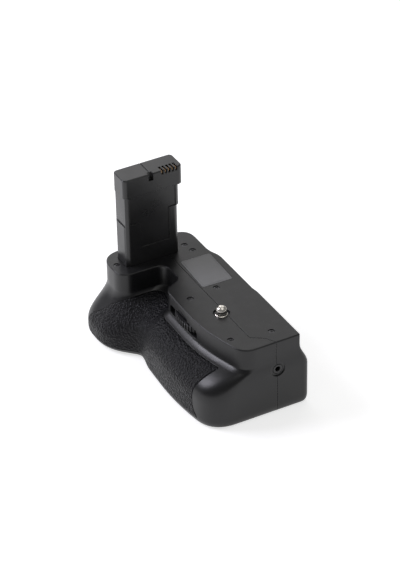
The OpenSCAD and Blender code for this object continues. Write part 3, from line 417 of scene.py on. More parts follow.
def stepped(obj, kind, **settings):
    step = obj.modifiers.new(kind, kind)
    for key, value in settings.items():
        setattr(step, key, value)
    bpy.context.view_layer.update()
    graph = bpy.context.evaluated_depsgraph_get()
    made = bpy.data.meshes.new_from_object(obj.evaluated_get(graph))
    obj.modifiers.clear()
    old = obj.data
    obj.data = made
    bpy.data.meshes.remove(old)
    return obj


def combine(obj, how, *others):
    for other in others:
        stepped(obj, "BOOLEAN", operation=how, solver="EXACT", object=other)
        bpy.data.objects.remove(other)
    return obj


def cutAway(obj, *tools):
    return combine(obj, "DIFFERENCE", *tools)


def fuse(obj, *others):
    return combine(obj, "UNION", *others)


def gathered(name, parts):
    bm = bmesh.new()
    for part in parts:
        bm.from_mesh(part.data)
        bpy.data.objects.remove(part)
    mesh = bpy.data.meshes.new(name)
    bm.to_mesh(mesh)
    bm.free()
    return placed(name, mesh)


def softenEdges(obj, width, angle=40, segments=2):
    return stepped(obj, "BEVEL", width=width, segments=segments, limit_method="ANGLE",
                   angle_limit=math.radians(angle))


def moved(obj, matrix):
    obj.data.transform(matrix)
    return obj


def shifted(obj, x, y, z):
    return moved(obj, Matrix.Translation((x, y, z)))


def spun(angle, axis):
    return Matrix.Rotation(math.radians(angle), 4, axis)


def cleaned(obj, near=0.004):
    def change(bm):
        bmesh.ops.remove_doubles(bm, verts=bm.verts, dist=near)
        bmesh.ops.dissolve_degenerate(bm, edges=bm.edges, dist=near)

    return edited(obj, change)


def triangled(obj):
    def change(bm):
        bmesh.ops.triangulate(bm, faces=[face for face in bm.faces if len(face.verts) == 4])

    return edited(obj, change)


def evenShade(obj):
    return stepped(obj, "WEIGHTED_NORMAL", keep_sharp=True)


def splitStray(obj):
    mesh, stray = obj.data, set()
    normals = [corner.vector.copy() for corner in mesh.corner_normals]
    for face in mesh.polygons:
        loops = list(face.loop_indices)
        for i, k in enumerate(loops):
            if normals[k].dot(face.normal) < strayCosine:
                stray.update((mesh.loops[k].edge_index, mesh.loops[loops[i - 1]].edge_index))
    for k in sorted(stray):
        mesh.edges[k].use_edge_sharp = True
    return obj


def setPiece(obj, body, slotName, nodes, sharpAngle=38):
    cleaned(obj).data.transform(Matrix.Scale(mm, 4))
    obj.data.materials.clear()
    obj.data.materials.append(finishes[slotName])
    obj.data.shade_smooth()
    obj.data.set_sharp_from_angle(angle=math.radians(sharpAngle))
    evenShade(splitStray(evenShade(obj)))
    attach(obj, body)
    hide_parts(*nodes)
    return obj


def pick(form, keys):
    return [form[key] for key in keys.split()]


def clip01(t):
    return min(1.0, max(0.0, t))


def ease(t):
    u = clip01(t)
    return u * u * (3 - 2 * u)


def mix(a, b, t):
    return a + (b - a) * t


def climb(a, b, count):  # even steps from a to b, without a itself
    return [mix(a, b, t / count) for t in range(1, count + 1)]


def grown(span, by):
    return span[0] - by, span[1] + by


def around(middle, half):
    return middle - half, middle + half


def polar(r, a):
    return r * math.cos(a), r * math.sin(a)


def fullTurn(steps):
    return [2 * math.pi * i / steps for i in range(steps)]


def arc(cx, cy, r, start, end, steps):
    bows = [polar(r, math.radians(start + (end - start) * k / steps)) for k in range(steps + 1)]
    return [(cx + x, cy + y) for x, y in bows]


def roundedRim(r, top, edge, steps):  # the quarter arc of a lathed profile, from its side up to its face
    return arc(r - edge, top - edge, edge, 0, 90, steps)


def stacked(name, rings):
    count = len(rings[0])
    verts = [p for ring in rings for p in ring]
    faces = [tuple(range(count))]
    for k in range(len(rings) - 1):
        for i in range(count):
            a, b = k * count + i, k * count + (i + 1) % count
            faces.append((a, b, b + count, a + count))
    faces.append(tuple((len(rings) - 1) * count + i for i in range(count)))
    return meshObject(name, verts, faces)


def lofted(name, layers):  # layers are (outline, height)
    return stacked(name, [[(x, y, z) for x, y in outline] for outline, z in layers])


def raised(name, outline, zs):
    return lofted(name, [(outline, z) for z in zs])


def roundRect(xs, ys, r, inset=0.0, steps=8):
    r = max(r - inset, 0.05)
    (x0, x1), (y0, y1) = grown(xs, -inset), grown(ys, -inset)
    centres = [(x1 - r, y1 - r, 0), (x0 + r, y1 - r, 90), (x0 + r, y0 + r, 180), (x1 - r, y0 + r, 270)]
    return [p for cx, cy, start in centres for p in arc(cx, cy, r, start, start + 90, steps)]


def softBlock(name, xs, ys, r, levels):  # levels are (height, inset)
    return lofted(name, [(roundRect(xs, ys, r, inset), z) for z, inset in levels])


def block(name, xs, ys, zs):
    (x0, x1), (y0, y1) = xs, ys
    return raised(name, [(x0, y0), (x1, y0), (x1, y1), (x0, y1)], zs)


def blocks(form, *names):
    return [block(name, *form[name]) for name in names]


def drum(name, at, r, zs, steps=40):
    ring = [polar(r, a) for a in fullTurn(steps)]
    return raised(name, [(at[0] + x, at[1] + y) for x, y in ring], zs)


def turned(name, profile, steps=56, closed=False, radius=None):  # profile of (radius, height) about +Z
    verts, rows = [], []
    for r, h in profile:
        if r < 1e-6:
            verts.append((0, 0, h))
            rows.append([len(verts) - 1] * steps)
            continue
        row = []
        for a in fullTurn(steps):
            row.append(len(verts))
            verts.append((*polar(r if radius is None else radius(r, h, a), a), h))
        rows.append(row)
    faces = []
    pairs = list(zip(rows, rows[1:])) + ([(rows[-1], rows[0])] if closed else [])
    for low, high in pairs:
        for i in range(steps):
            j = (i + 1) % steps
            ring = tuple(dict.fromkeys([low[i], low[j], high[j], high[i]]))
            if len(ring) > 2:
                faces.append(ring)
    if not closed:
        for row, r in ((rows[0], profile[0][0]), (rows[-1], profile[-1][0])):
            if r >= 1e-6:
                faces.append(tuple(row))
    return meshObject(name, verts, faces)


def alongX(at, facing=1):  # turns +Z of a lathed piece to +X or -X, about an axis at (y, z)
    return Matrix.Translation((0, at[0], at[1])) @ spun(90 * facing, "Y")


def rodX(name, at, r, ends, facing=1, steps=56):
    profile = [(0, ends[0]), (r, ends[0]), (r, ends[1]), (0, ends[1])]
    return moved(turned(name, profile, steps), alongX(at, facing))


def threadBite(h, a, pitch, steep, flat):  # how far into its groove a thread is, 0 to 1
    phase = (h / pitch - a / (2 * math.pi)) % 1.0
    return clip01(abs(phase - 0.5) * steep - flat)


# case: both shells come from one loft of rounded outlines

case = {
    "top": 47.0, "wall": 2.2, "topPlate": 2.4, "floor": 2.2,
    "neckDrop": 12.8, "ledge": 2.0, "bellyDrop": 32.4, "topRound": 0.7, "baseRound": 5.0,
    "flareDrop": 7.0, "flare": 14.0, "noseDrop": 13.0, "nose": 24.0,
    "ledgeShare": 0.15, "ledgeBend": 1.4, "bellyBend": 3, "wallSink": 1.4,
    "baseInset": {"rear": 0.3, "front": 0.5, "nose": 1.0, "corner": 0.45},
    "corners": [  # place and rounding at the top, the same low down, and the kind of profile
        ((39.0, 27.9), 1.2, (40.3, 33.2), 4, "rear"),
        ((-8.5, 27.9), 2, (-8.5, 33.2), 2, "rear"),
        ((-12.5, 27.2), 2, (-12.5, 33.2), 2, "rear"),
        ((-51.0, 27.2), 3, (-51.0, 33.2), 3, "rear"),
        ((-58.5, 24.1), 4, (-58.5, 33.2), 3, "rear"),
        ((-84.6, 24.1), 10, (-87.4, 33.2), 10, "rear"),
        ((-84.6, -33.0), 15, (-87.4, -45.8), 25, "nose"),
        ((-59.0, -33.0), 9, (-57.5, -45.8), 13, "nose"),
        ((-58.6, -4.5), 7, (-43.0, -30.0), 8, "front"),
        ((-41.5, -4.5), 4, (-37.0, -30.8), 3, "front"),
        ((-36.0, -16.3), 6, (-30.0, -32.6), 4, "front"),
        ((8.0, -16.8), 16, (4.0, -34.6), 18, "front"),
        ((39.0, -8.0), 8, (40.3, -29.6), 15, "corner"),
    ],
    "reachShare": 0.49, "outerSteps": 14, "innerSteps": 5, "innerLevels": 16,
    "bellyLevels": 30, "bellyCrowding": 1.4, "coveLevels": 10, "neckLevels": 8,
    "seam": 0.12, "partY": 2.0, "bendX": 27.0, "bendLength": 7.5, "bendY": 10.0, "bendSteps": 16,
    "endX": 38.8, "endY": 12.5, "far": 200.0,
}


def loweredShare(kind, z, sink):  # the front's inner face also sinks, as its shoulder is flat
    drop = case["top"] - z
    if kind == "rear":
        return ease((drop - case["flareDrop"]) / case["flare"])
    if kind == "nose":
        return ease((drop - case["noseDrop"]) / case["nose"])
    share, below = case["ledgeShare"], case["neckDrop"] + case["ledge"]
    cove = clip01((drop - sink - case["neckDrop"]) / case["ledge"])
    belly = clip01((drop - sink - below) / (case["bellyDrop"] - below))
    return share * cove ** case["ledgeBend"] + (1 - share) * (1 - (1 - belly) ** case["bellyBend"])


def edgeInset(kind, z):
    low, edge = case["baseRound"], case["topRound"]
    high = case["top"] - edge
    if low <= z <= high:
        return 0.0
    t, r = ((low - z) / low, case["baseInset"][kind] * low) if z < low else ((z - high) / edge, edge)
    return r * (1 - math.sqrt(max(0, 1 - t * t)))


def neighbours(points):
    return zip(points[-1:] + points[:-1], points, points[1:] + points[:1])


def outlineAt(z, inset, steps, sink=0.0):
    spots, reaches = [], []
    for neck, neckReach, low, lowReach, kind in case["corners"]:
        share = loweredShare(kind, z, sink)
        spots.append(Vector(neck).lerp(Vector(low), share))
        reaches.append(mix(neckReach, lowReach, share))
    drawn = []
    for (before, spot, after), corner in zip(neighbours(spots), case["corners"]):
        d1, d2 = (spot - before).normalized(), (after - spot).normalized()
        n1, n2 = Vector((-d1.y, d1.x)), Vector((-d2.y, d2.x))
        amount = inset + edgeInset(corner[4], z)
        drawn.append(spot + amount * (n1 + n2) / (1 + n1.dot(n2)))
    points = []
    for (before, spot, after), most in zip(neighbours(drawn), reaches):
        toBefore, toAfter = before - spot, after - spot
        reach = min(most, case["reachShare"] * toBefore.length, case["reachShare"] * toAfter.length)
        a, b = spot + toBefore.normalized() * reach, spot + toAfter.normalized() * reach
        for k in range(steps):
            t = k / (steps - 1)
            points.append((1 - t) ** 2 * a + 2 * t * (1 - t) * spot + t * t * b)
    return points


def caseLoft(name, levels, inset, steps, sink=0.0):
    return lofted(name, [(outlineAt(z, inset, steps, sink), z) for z in levels])


def outerLevels():
    low, top, edge, neck, ledge, bend = pick(case, "baseRound top topRound neckDrop ledge bellyCrowding")
    coveTop, coveLow = top - neck, top - neck - ledge
    levels = [low * (1 - math.cos(math.radians(a))) for a in range(0, 91, 10)]
    levels += [mix(low, coveLow, 1 - (1 - t) ** bend) for t in climb(0, 1, case["bellyLevels"])]
    levels += climb(coveLow, coveTop, case["coveLevels"]) + climb(coveTop, top - edge, case["neckLevels"])
    levels += [top - edge + edge * math.sin(math.radians(a)) for a in (22, 45, 67, 90)]
    return levels


def innerLevels():
    low, high = case["floor"], case["top"] - case["topPlate"]
    return [low] + climb(low, high, case["innerLevels"])


def partLine(shift):
    far, y0, y1, bend, length, endX, endY = pick(case, "far partY bendY bendX bendLength endX endY")
    points = [(-far, y0)]
    for t in [0.0] + climb(0.0, 1.0, case["bendSteps"]):
        points.append((bend + length * t, mix(y0, y1, ease(t))))
    points += [(endX, endY), (far, endY)]
    out = []
    for i, (x, y) in enumerate(points):
        before, after = points[max(0, i - 1)], points[min(len(points) - 1, i + 1)]
        along = Vector((after[0] - before[0], after[1] - before[1])).normalized()
        out.append((x - along.y * shift, y + along.x * shift))
    return out


def halfSpace(name, side):
    far = case["far"]
    outline = partLine(side * case["seam"]) + [(far, side * far), (-far, side * far)]
    return raised(name, outline, (-far / 2, far))


topScrews = [(-23.2, 9.6), (-21.0, -8.4), (28.7, 15.5), (24.6, -8.0), (-70.0, 14.4), (-63.0, 16.0),
             (-71.3, -28.8)]
baseScrews = [(-35.0, -14.0), (-35.0, 14.0), (27.0, -14.0), (27.0, 14.0)]
towerXs, towerYs = (-79.5, -65.5), (-25.0, 9.0)
plateXs, plateYs = (-32.0, 24.0), (-18.0, 18.0)
jackAt = (13.1, 29.0)
shutterAt = (-18.0, 18.0)
holes = {
    "screwR": 1.85, "screwDeep": 1.1, "bushR": 4.8, "deep": 4.0, "cornerR": 3.1, "towerGap": 0.15,
    "plateGap": 0.12,
    "jackR": 3.1, "jackRecessR": 4.5, "jackRecessX": 39.5, "jackXs": (32.0, 44.0),
    "shutterR": 9.32, "shutterXs": (78.0, 95.0),
    "doorOpening": ((-48.2, 31.6), (28.4, 36.0), (4.3, 26.1)),
    "lugOpening": ((-49.9, 33.3), (28.4, 36.0), (4.3, 8.1)),
}


def commonCuts():
    deep, screwR, screwDeep, cornerR, gap, plateGap = pick(
        holes, "deep screwR screwDeep cornerR towerGap plateGap")
    (x0, x1), r, wide, recess = pick(holes, "jackXs jackR jackRecessR jackRecessX")
    top, above = case["top"], case["top"] + past
    wellLevels, plateLevels = [(top - deep, 0), (above, 0)], [(-past, 0), (deep, 0)]
    tools = [drum("screwCut", at, screwR, (top - screwDeep, above)) for at in topScrews]
    tools.append(drum("bushCut", (0, 0), holes["bushR"], (top - deep, above), 64))
    tools.append(softBlock("towerCut", grown(towerXs, gap), grown(towerYs, gap), cornerR, wellLevels))
    tools += [drum("baseScrewCut", at, screwR, (-past, screwDeep)) for at in baseScrews]
    tools.append(softBlock("plateCut", grown(plateXs, plateGap), grown(plateYs, plateGap), cornerR,
                           plateLevels))
    mouth = turned("jackCut", [(0, x0), (r, x0), (r, recess), (wide, recess), (wide, x1), (0, x1)])
    tools.append(moved(mouth, alongX(jackAt)))
    return gathered("commonCuts", tools)


def makeCase():
    whole = triangled(caseLoft("caseLoft", outerLevels(), 0.0, case["outerSteps"]))
    hollow = caseLoft("caseHollow", innerLevels(), case["wall"], case["innerSteps"], case["wallSink"])
    cutAway(whole, triangled(hollow), commonCuts())
    other = whole.copy()
    other.data = whole.data.copy()
    scene.collection.objects.link(other)
    whole.name, other.name = "frontShell", "rearShell"
    combine(whole, "INTERSECT", halfSpace("frontHalf", -1))
    combine(other, "INTERSECT", halfSpace("rearHalf", 1))
    return whole, other


frontShell, rearShell = makeCase()
print("case lofted and parted:", len(frontShell.data.polygons), len(rearShell.data.polygons), "faces")


# grip pad: a skin over the front of the loft, with its own thickness and rolled edges

pad = {
    "startX": -80.0, "bottom": 3.6, "startBottom": 5.1, "startRise": 4.0, "columns": 240, "rows": 64,
    "edge": [(-80.0, 9.6), (-76.0, 16.5), (-70.0, 20.5), (-66.0, 25.6), (-62.0, 29.0), (-57.0, 32.3),
             (-52.0, 32.2), (-44.0, 31.6), (40.0, 31.6)],
    "end": [(3.0, 27.2), (5.0, 26.8), (8.0, 24.4), (10.5, 23.4), (16.0, 23.2), (21.0, 23.5), (25.0, 24.2),
            (28.0, 25.0), (31.0, 25.8), (34.0, 25.8)],
    "proud": 0.12, "roll": 0.7, "rollDrop": 0.45, "deep": 1.0, "swell": 0.06, "swellScale": 0.11,
    "gap": 0.10, "recess": 1.15, "recessOut": 2.5, "recessColumns": 90, "recessRows": 20,
    "levels": 84, "zs": (2.6, 33.6), "ringSteps": 30, "firstCorner": 6, "frontFrom": 150, "frontY": -10.0,
    "edgeGuess": 30.0, "edgeTries": 24,
}


def stepwise(points, x):
    for (x0, y0), (x1, y1) in zip(points, points[1:]):
        if x <= x1:
            return mix(y0, y1, clip01((x - x0) / (x1 - x0)))
    return points[-1][1]


def crossing(a, b, x):
    return a.lerp(b, (x - a.x) / (b.x - a.x))


def padChain(z, columns, spread):  # points along the front at one height, nose to pad end
    chain = outlineAt(z, 0.0, pad["ringSteps"])[pad["firstCorner"] * pad["ringSteps"]:]
    startX, endX = pad["startX"] - spread, stepwise(pad["end"], z) + spread
    begin = next(i for i, p in enumerate(chain) if p.x >= startX and p.y < 0)
    path = [crossing(chain[begin - 1], chain[begin], startX)]
    for i in range(begin, len(chain)):
        p = chain[i]
        if p.x > endX and p.y < pad["frontY"] and i > pad["frontFrom"]:
            path.append(crossing(chain[i - 1], p, endX))
            break
        path.append(p)
    lengths = [0.0]
    for a, b in zip(path, path[1:]):
        lengths.append(lengths[-1] + (b - a).length)
    points, k = [], 0
    for c in range(columns + 1):
        goal = lengths[-1] * c / columns
        while k < len(path) - 2 and lengths[k + 1] < goal:
            k += 1
        span = lengths[k + 1] - lengths[k]
        points.append(path[k].lerp(path[k + 1], 0 if span == 0 else (goal - lengths[k]) / span))
    return points


def padGrid(columns, rows, spread):
    (z0, z1), levels = pad["zs"], pad["levels"]
    table = [padChain(z, columns, spread) for z in [z0] + climb(z0, z1, levels)]

    def spotAt(c, z):
        f = clip01((z - z0) / (z1 - z0)) * levels
        k = min(int(f), levels - 1)
        p = table[k][c].lerp(table[k + 1][c], f - k)
        return Vector((p.x, p.y, z))

    grid = []
    for c in range(columns + 1):
        high = pad["edgeGuess"]
        for _ in range(pad["edgeTries"]):
            high = mix(high, stepwise(pad["edge"], spotAt(c, high).x), 0.5)
        x = spotAt(c, pad["bottom"]).x
        low = mix(pad["startBottom"], pad["bottom"], clip01((x - pad["startX"]) / pad["startRise"]))
        grid.append([spotAt(c, mix(low - spread, high + spread, r / rows)) for r in range(rows + 1)])
    return grid


def gridNormals(grid):
    normals = []
    for c, line in enumerate(grid):
        before, after, last = grid[max(c - 1, 0)], grid[min(c + 1, len(grid) - 1)], len(line) - 1
        facings = []
        for r in range(last + 1):
            upward = line[min(r + 1, last)] - line[max(r - 1, 0)]
            facings.append((after[r] - before[r]).cross(upward).normalized())
        normals.append(facings)
    return normals


def skinSolid(name, outer, inner):
    columns, rows = len(outer), len(outer[0])
    verts = [p for line in outer for p in line] + [p for line in inner for p in line]
    half = columns * rows
    faces = []
    for c in range(columns - 1):
        for r in range(rows - 1):
            a, b = c * rows + r, (c + 1) * rows + r
            faces.append((a, b, b + 1, a + 1))
            faces.append((half + a, half + a + 1, half + b + 1, half + b))
    rim = [c * rows for c in range(columns)] + [(columns - 1) * rows + r for r in range(1, rows)]
    rim += [c * rows + rows - 1 for c in range(columns - 2, -1, -1)] + list(range(rows - 2, 0, -1))
    for a, b in zip(rim, rim[1:] + rim[:1]):
        faces.append((a, half + a, half + b, b))
    return meshObject(name, verts, faces)


def pushed(grid, normals, by):
    return [[p + n * by for p, n in zip(line, facing)] for line, facing in zip(grid, normals)]


def makeGripPad():
    grid = padGrid(pad["columns"], pad["rows"], 0.0)
    normals = gridNormals(grid)
    middle = len(grid[0]) // 2
    outer = []
    for line, facings in zip(grid, normals):
        side = min((line[middle] - end[middle]).length for end in (grid[0], grid[-1]))
        outerLine = []
        for spot, facing in zip(line, facings):
            reach = min(side, (spot - line[0]).length, (spot - line[-1]).length)
            t = 1 - clip01(reach / pad["roll"])
            lift = pad["proud"] - pad["rollDrop"] * (1 - math.sqrt(1 - t * t))
            swell = pad["swell"] * noise.noise(spot * pad["swellScale"])
            outerLine.append(spot + facing * (lift + swell * (1 - t)))
        outer.append(outerLine)
    return skinSolid("gripPad", outer, pushed(grid, normals, -pad["deep"]))


def padRecess():
    grid = padGrid(pad["recessColumns"], pad["recessRows"], pad["gap"])
    normals = gridNormals(grid)
    outer, inner = (pushed(grid, normals, by) for by in (pad["recessOut"], -pad["recess"]))
    return skinSolid("padRecess", outer, inner)


window = {
    "slot": ((-30.5, 1.0), (35.0, 40.5), 2.0), "ys": (-27.0, -10.0),
    "scoopXs": (-22.0, -12.0), "scoopAt": (-19.2, 41.0), "scoopR": 3.4,
}


def windowCuts():
    front, back = window["ys"]
    slot = softBlock("wheelSlot", *window["slot"], [(0, 0), (back - front, 0)])
    moved(slot, Matrix.Translation((0, back, 0)) @ spun(90, "X"))
    r, (x0, x1) = window["scoopR"], window["scoopXs"]
    profile = arc(0, x0, r, -90, 0, 8) + arc(0, x1, r, 0, 90, 8)
    profile[0], profile[-1] = (0.0, x0 - r), (0.0, x1 + r)
    return slot, moved(turned("scoop", profile, 32), alongX(window["scoopAt"]))


label = {"xs": (-56.0, -27.0), "ys": (4.0, 23.0), "r": 1.5, "turn": -2.0, "sink": 0.3, "thick": 0.4,
         "soft": 0.08, "gap": 0.1, "lineIn": 0.9, "lineWide": 0.28, "lineDeep": 0.06}


def labelTurn():
    pivot = Vector((label["xs"][0], label["ys"][0], 0))
    return Matrix.Translation(pivot) @ spun(label["turn"], "Z") @ Matrix.Translation(-pivot)


def finishShells(front, rear):
    cutAway(front, padRecess(), *windowCuts())
    cutAway(front, rodX("shutterCut", shutterAt, holes["shutterR"], holes["shutterXs"], -1))
    setPiece(front, "case", "case_plastic", ["front_shell"])
    g, top = label["gap"], case["top"]
    recess = softBlock("labelRecess", grown(label["xs"], g), grown(label["ys"], g), label["r"] + g,
                       [(top - label["sink"], 0), (top + past, 0)])
    cutAway(rear, moved(recess, labelTurn()))
    cutAway(rear, *blocks(holes, "doorOpening", "lugOpening"))
    setPiece(rear, "case", "case_plastic", ["rear_shell"])


finishShells(frontShell, rearShell)
setPiece(makeGripPad(), "case", "grip_rubber", ["grip_pad"], 60)
print("shells and grip pad set")


# tower with its contact cap

tower = {
    "r": 3.0, "zs": (42.4, 92.7),
    "rearFrom": 17.0, "rearStep": 1.0, "rearStepZ": 79.2, "sideStep": 0.5, "sideStepZ": 73.5, "panelIn": 0.6,
    "panels": [(-22.0, -15.6, 74.7), (-15.6, 3.0, 58.1), (3.0, 7.4, 79.4)],
    "flange": ((-80.9, -62.7), (-30.2, 10.4), 9.0), "flangeLevels": [(42.4, 0), (44.6, 0)],
}


def makeTower():
    (x0, x1), (y0, y1), (foot, capZ) = towerXs, towerYs, tower["zs"]
    body = softBlock("batteryTower", towerXs, towerYs, tower["r"], [(foot, 0), (capZ, 0)])
    fuse(body, softBlock("rearStep", towerXs, (y0 + tower["rearFrom"], y1 + tower["rearStep"]), tower["r"],
                         [(tower["rearStepZ"], 0), (capZ, 0)]))
    for start, end, low in tower["panels"]:
        panelXs = (x1 - tower["panelIn"], x1 + 2 * past)
        cutAway(body, block("panelCut", panelXs, (start, end), (low, capZ + past)))
    cutAway(body, block("sideCut", grown(towerXs, 2 * past), (y0 - 2 * past, y0 + tower["sideStep"]),
                        (tower["sideStepZ"], capZ + past)))
    return fuse(body, softBlock("towerFlange", *tower["flange"], tower["flangeLevels"]))


cap = {
    "ys": (-25.2, 12.1), "r": 2.5, "zs": (92.7, 105.0), "lowEdge": 0.2, "round": 0.8, "soft": 0.12,
    "slotYs": [3.8 + 2.2 * k for k in (-2, -1, 0, 1, 2)], "slotWide": 1.3, "slotIn": 4.5, "slotDeep": 2.6,
    "keyY": -8.0, "keyWide": 3.0, "keyIn": 2.4, "keyDeep": 4.5, "grooveWide": 0.5, "grooveDeep": 0.5,
    "grooveEnd": 1.0, "bladeThick": 0.6, "bladeBack": 0.8, "bladeSoft": 0.14,
}


def makeTowerCap():
    (low, top), edge, over, (x0, x1) = cap["zs"], cap["lowEdge"], 2 * past, towerXs
    rim = [(z, -inset) for inset, z in roundedRim(0, top, cap["round"], 6)]
    body = softBlock("towerCap", towerXs, cap["ys"], cap["r"], [(low, edge), (low + edge, 0)] + rim)

    def notch(start, end, y, wide, deep):
        return block("capCut", (start, end), around(y, wide / 2), (top - deep, top + over))

    slots = [notch(x1 - cap["slotIn"], x1 + over, y, cap["slotWide"], cap["slotDeep"]) for y in cap["slotYs"]]
    key = notch(x1 - cap["keyIn"], x1 + over, cap["keyY"], cap["keyWide"], cap["keyDeep"])
    groove = notch(x0 - over, x1 - cap["grooveEnd"], cap["keyY"], cap["grooveWide"], cap["grooveDeep"])
    cutAway(body, gathered("capCuts", slots + [key]), groove)
    return softenEdges(body, cap["soft"], 45, 1)


def makeBlades():
    top, side = cap["zs"][1], towerXs[1]
    xs, zs = (side - cap["slotIn"], side - cap["bladeBack"]), (top - cap["slotDeep"], top - cap["bladeBack"])
    blades = [block("blade", xs, around(y, cap["bladeThick"] / 2), zs) for y in cap["slotYs"]]
    return gathered("towerBlades", [softenEdges(blade, cap["bladeSoft"]) for blade in blades])


setPiece(makeTower(), "case", "tower_plastic", ["battery_tower"])
setPiece(makeTowerCap(), "case", "tower_plastic", ["tower_cap"])
setPiece(makeBlades(), "case", "contact_metal", ["tower_contacts"])
print("tower set")


# label plate, left blank inside a fine border line

def makeLabel():
    low, soft = case["top"] - label["sink"], label["soft"]
    high, outside = low + label["thick"], label["lineIn"]
    inside = outside + label["lineWide"]
    shape = label["xs"], label["ys"], label["r"]
    plate = softBlock("labelPlate", *shape, [(low, 0), (high - soft, 0), (high, soft)])
    line = softBlock("borderOuter", *shape, [(high - label["lineDeep"], outside), (high + past, outside)])
    cutAway(line, softBlock("borderInner", *shape, [(high - past, inside), (high + 2 * past, inside)]))
    return moved(cutAway(plate, line), labelTurn())


setPiece(makeLabel(), "case", "label_grey", ["label_plate"])


# screws with a cross recess

screw = {"headR": 1.7, "headHigh": 0.8, "edge": 0.22, "dome": 0.12, "shankR": 0.9, "topShank": 6.0,
         "tipIn": 0.3, "tipLong": 0.4, "crossLong": 2.3, "crossWide": 0.5, "crossDeep": 0.55,
         "turns": (12, 55, 78, 31, 66, 8, 47)}


def makeScrew(name, shank, angle):
    r, h, thin, tipIn, tipLong = pick(screw, "headR headHigh shankR tipIn tipLong")
    profile = [(0, -shank), (thin - tipIn, -shank), (thin, -shank + tipLong), (thin, 0), (r, 0)]
    profile += roundedRim(r, h - screw["dome"], screw["edge"], 4)
    profile += [(r * 0.5, h - screw["dome"] * 0.3), (0, h)]
    body = turned(name, profile, 32)
    for side in (0, 90):
        bar = block("cross", around(0, screw["crossLong"] / 2), around(0, screw["crossWide"] / 2),
                    (h - screw["crossDeep"], h + past))
        cutAway(body, moved(bar, spun(angle + side, "Z")))
    return body


def makeScrews(name, spots, shank, z, tilt):
    made = []
    for (x, y), angle in zip(spots, screw["turns"]):
        piece = moved(makeScrew("screw", shank, angle), spun(tilt, "X"))
        made.append(shifted(piece, x, y, z))
    return gathered(name, made)


def setScrews():
    high, (low, up) = screw["headHigh"], nodeBox["base_screws"]
    topSet = makeScrews("topScrews", topScrews, screw["topShank"], nodeBox["case_screws"][1].z - high, 0)
    setPiece(topSet, "case", "screw_steel", ["case_screws"])
    baseSet = makeScrews("baseScrews", baseScrews, up.z - low.z - high, low.z + high, 180)
    setPiece(baseSet, "case", "screw_steel", ["base_screws"])


setScrews()
print("label and screws set")


# tripod stud with a rolled thread and a rounded end

stud = {
    "foot": [(0, 39.8), (1.8, 39.8), (1.8, 41.0), (3.575, 41.0), (3.575, 46.5), (3.275, 46.8)],
    "r": 3.175, "zs": (46.8, 49.0), "rows": 44, "top": 52.0, "tip": 3.0, "tipFlat": 0.88, "tipDrop": 0.08,
    "thread": (1.27, 2.6, 0.15), "threadDeep": 0.12, "fadeTop": 0.6, "fadeLow": 0.5,
}


def makeStud():
    (low, high), tip, top = pick(stud, "zs tip top")

    def threaded(r, h, a):
        if h <= low + 1e-6 or h >= high - 1e-6:
            return r
        fade = clip01((high - h) / stud["fadeTop"]) * clip01((h - low) / stud["fadeLow"])
        return r - stud["threadDeep"] * fade * threadBite(h, a, *stud["thread"])

    profile = stud["foot"] + [(stud["r"], h) for h in [low] + climb(low, high, stud["rows"])]
    r = stud["r"] - tip
    bow = [polar(tip, math.radians(a)) for a in range(10, 91, 10)]
    profile += [(r + x, high + y * stud["tipFlat"]) for x, y in bow]
    profile += [(r * 0.6, top - stud["tipDrop"]), (0, top)]
    return turned("tripodStud", profile, 64, radius=threaded)


setPiece(makeStud(), "stud", "stud_nickel", ["tripod_stud"], 50)


# thumbwheel: ribbed rim, hub and its gear

wheel = {"at": (-15.0, 2.4), "r": 21.0, "zs": (36.0, 39.5), "ribs": 60, "ribDeep": 0.6, "chamfer": 0.35,
         "ribShape": [(0.0, 0.25), (0.06, 0.0), (0.39, 0.0), (0.45, 0.25), (0.54, 1.0), (0.88, 1.0)],
         "hubR": 5.0, "hubOver": 0.5, "boreR": 2.05, "gearZs": (41.0, 43.8), "teeth": 16, "toothUp": 0.8,
         "toothDown": 1.05, "toothGap": 0.1, "rootWide": 0.3}


def ribbedRing(r):
    count, deep = wheel["ribs"], wheel["ribDeep"]
    return [polar(r - deep * sunk, 2 * math.pi * (i + share) / count)
            for i in range(count) for share, sunk in wheel["ribShape"]]


def gearRing(radius, turn):
    half, root = math.pi * radius / wheel["teeth"] / 2 - wheel["toothGap"], wheel["rootWide"]
    inner, outer = radius - wheel["toothDown"], radius + wheel["toothUp"]
    shape = ((inner, -half - root), (radius, -half), (outer, -half / 2),
             (outer, half / 2), (radius, half), (inner, half + root))
    return [polar(r, turn + middle + w / r) for middle in fullTurn(wheel["teeth"]) for r, w in shape]


def makeThumbwheel():
    (z0, z1), (g0, g1), c, over = wheel["zs"], wheel["gearZs"], wheel["chamfer"], wheel["hubOver"]
    sides = ((z0, c), (z0 + c, 0), (z1 - c, 0), (z1, c))
    rim = lofted("thumbWheel", [(ribbedRing(wheel["r"] - inset), z) for z, inset in sides])
    turn = math.atan2(-wheel["at"][1], -wheel["at"][0]) + math.pi
    fuse(rim, drum("wheelHub", (0, 0), wheel["hubR"], (z1 - over, g0 + over), 48))
    fuse(rim, raised("wheelGear", gearRing(math.hypot(*wheel["at"]) / 2, turn), (g0, g1)))
    cutAway(rim, drum("wheelBore", (0, 0), wheel["boreR"], (z0 - past, g1 + past), 48))
    return shifted(rim, *wheel["at"], 0)


setPiece(makeThumbwheel(), "wheel", "wheel_plastic", ["thumbwheel"], 30)
print("stud and thumbwheel set")


# jack for the release cable

jack = {
    "profile": [(0, 30.2), (3.0, 30.2), *roundedRim(3.0, 39.7, 0.4, 5), *arc(1.85, 39.35, 0.35, 90, 180, 4),
                (1.5, 30.7), (0.75, 30.6), (0, 30.6)],
    "can": ((22.2, 30.3), (9.6, 16.6), (25.5, 32.5)), "canSoft": 0.3,
}


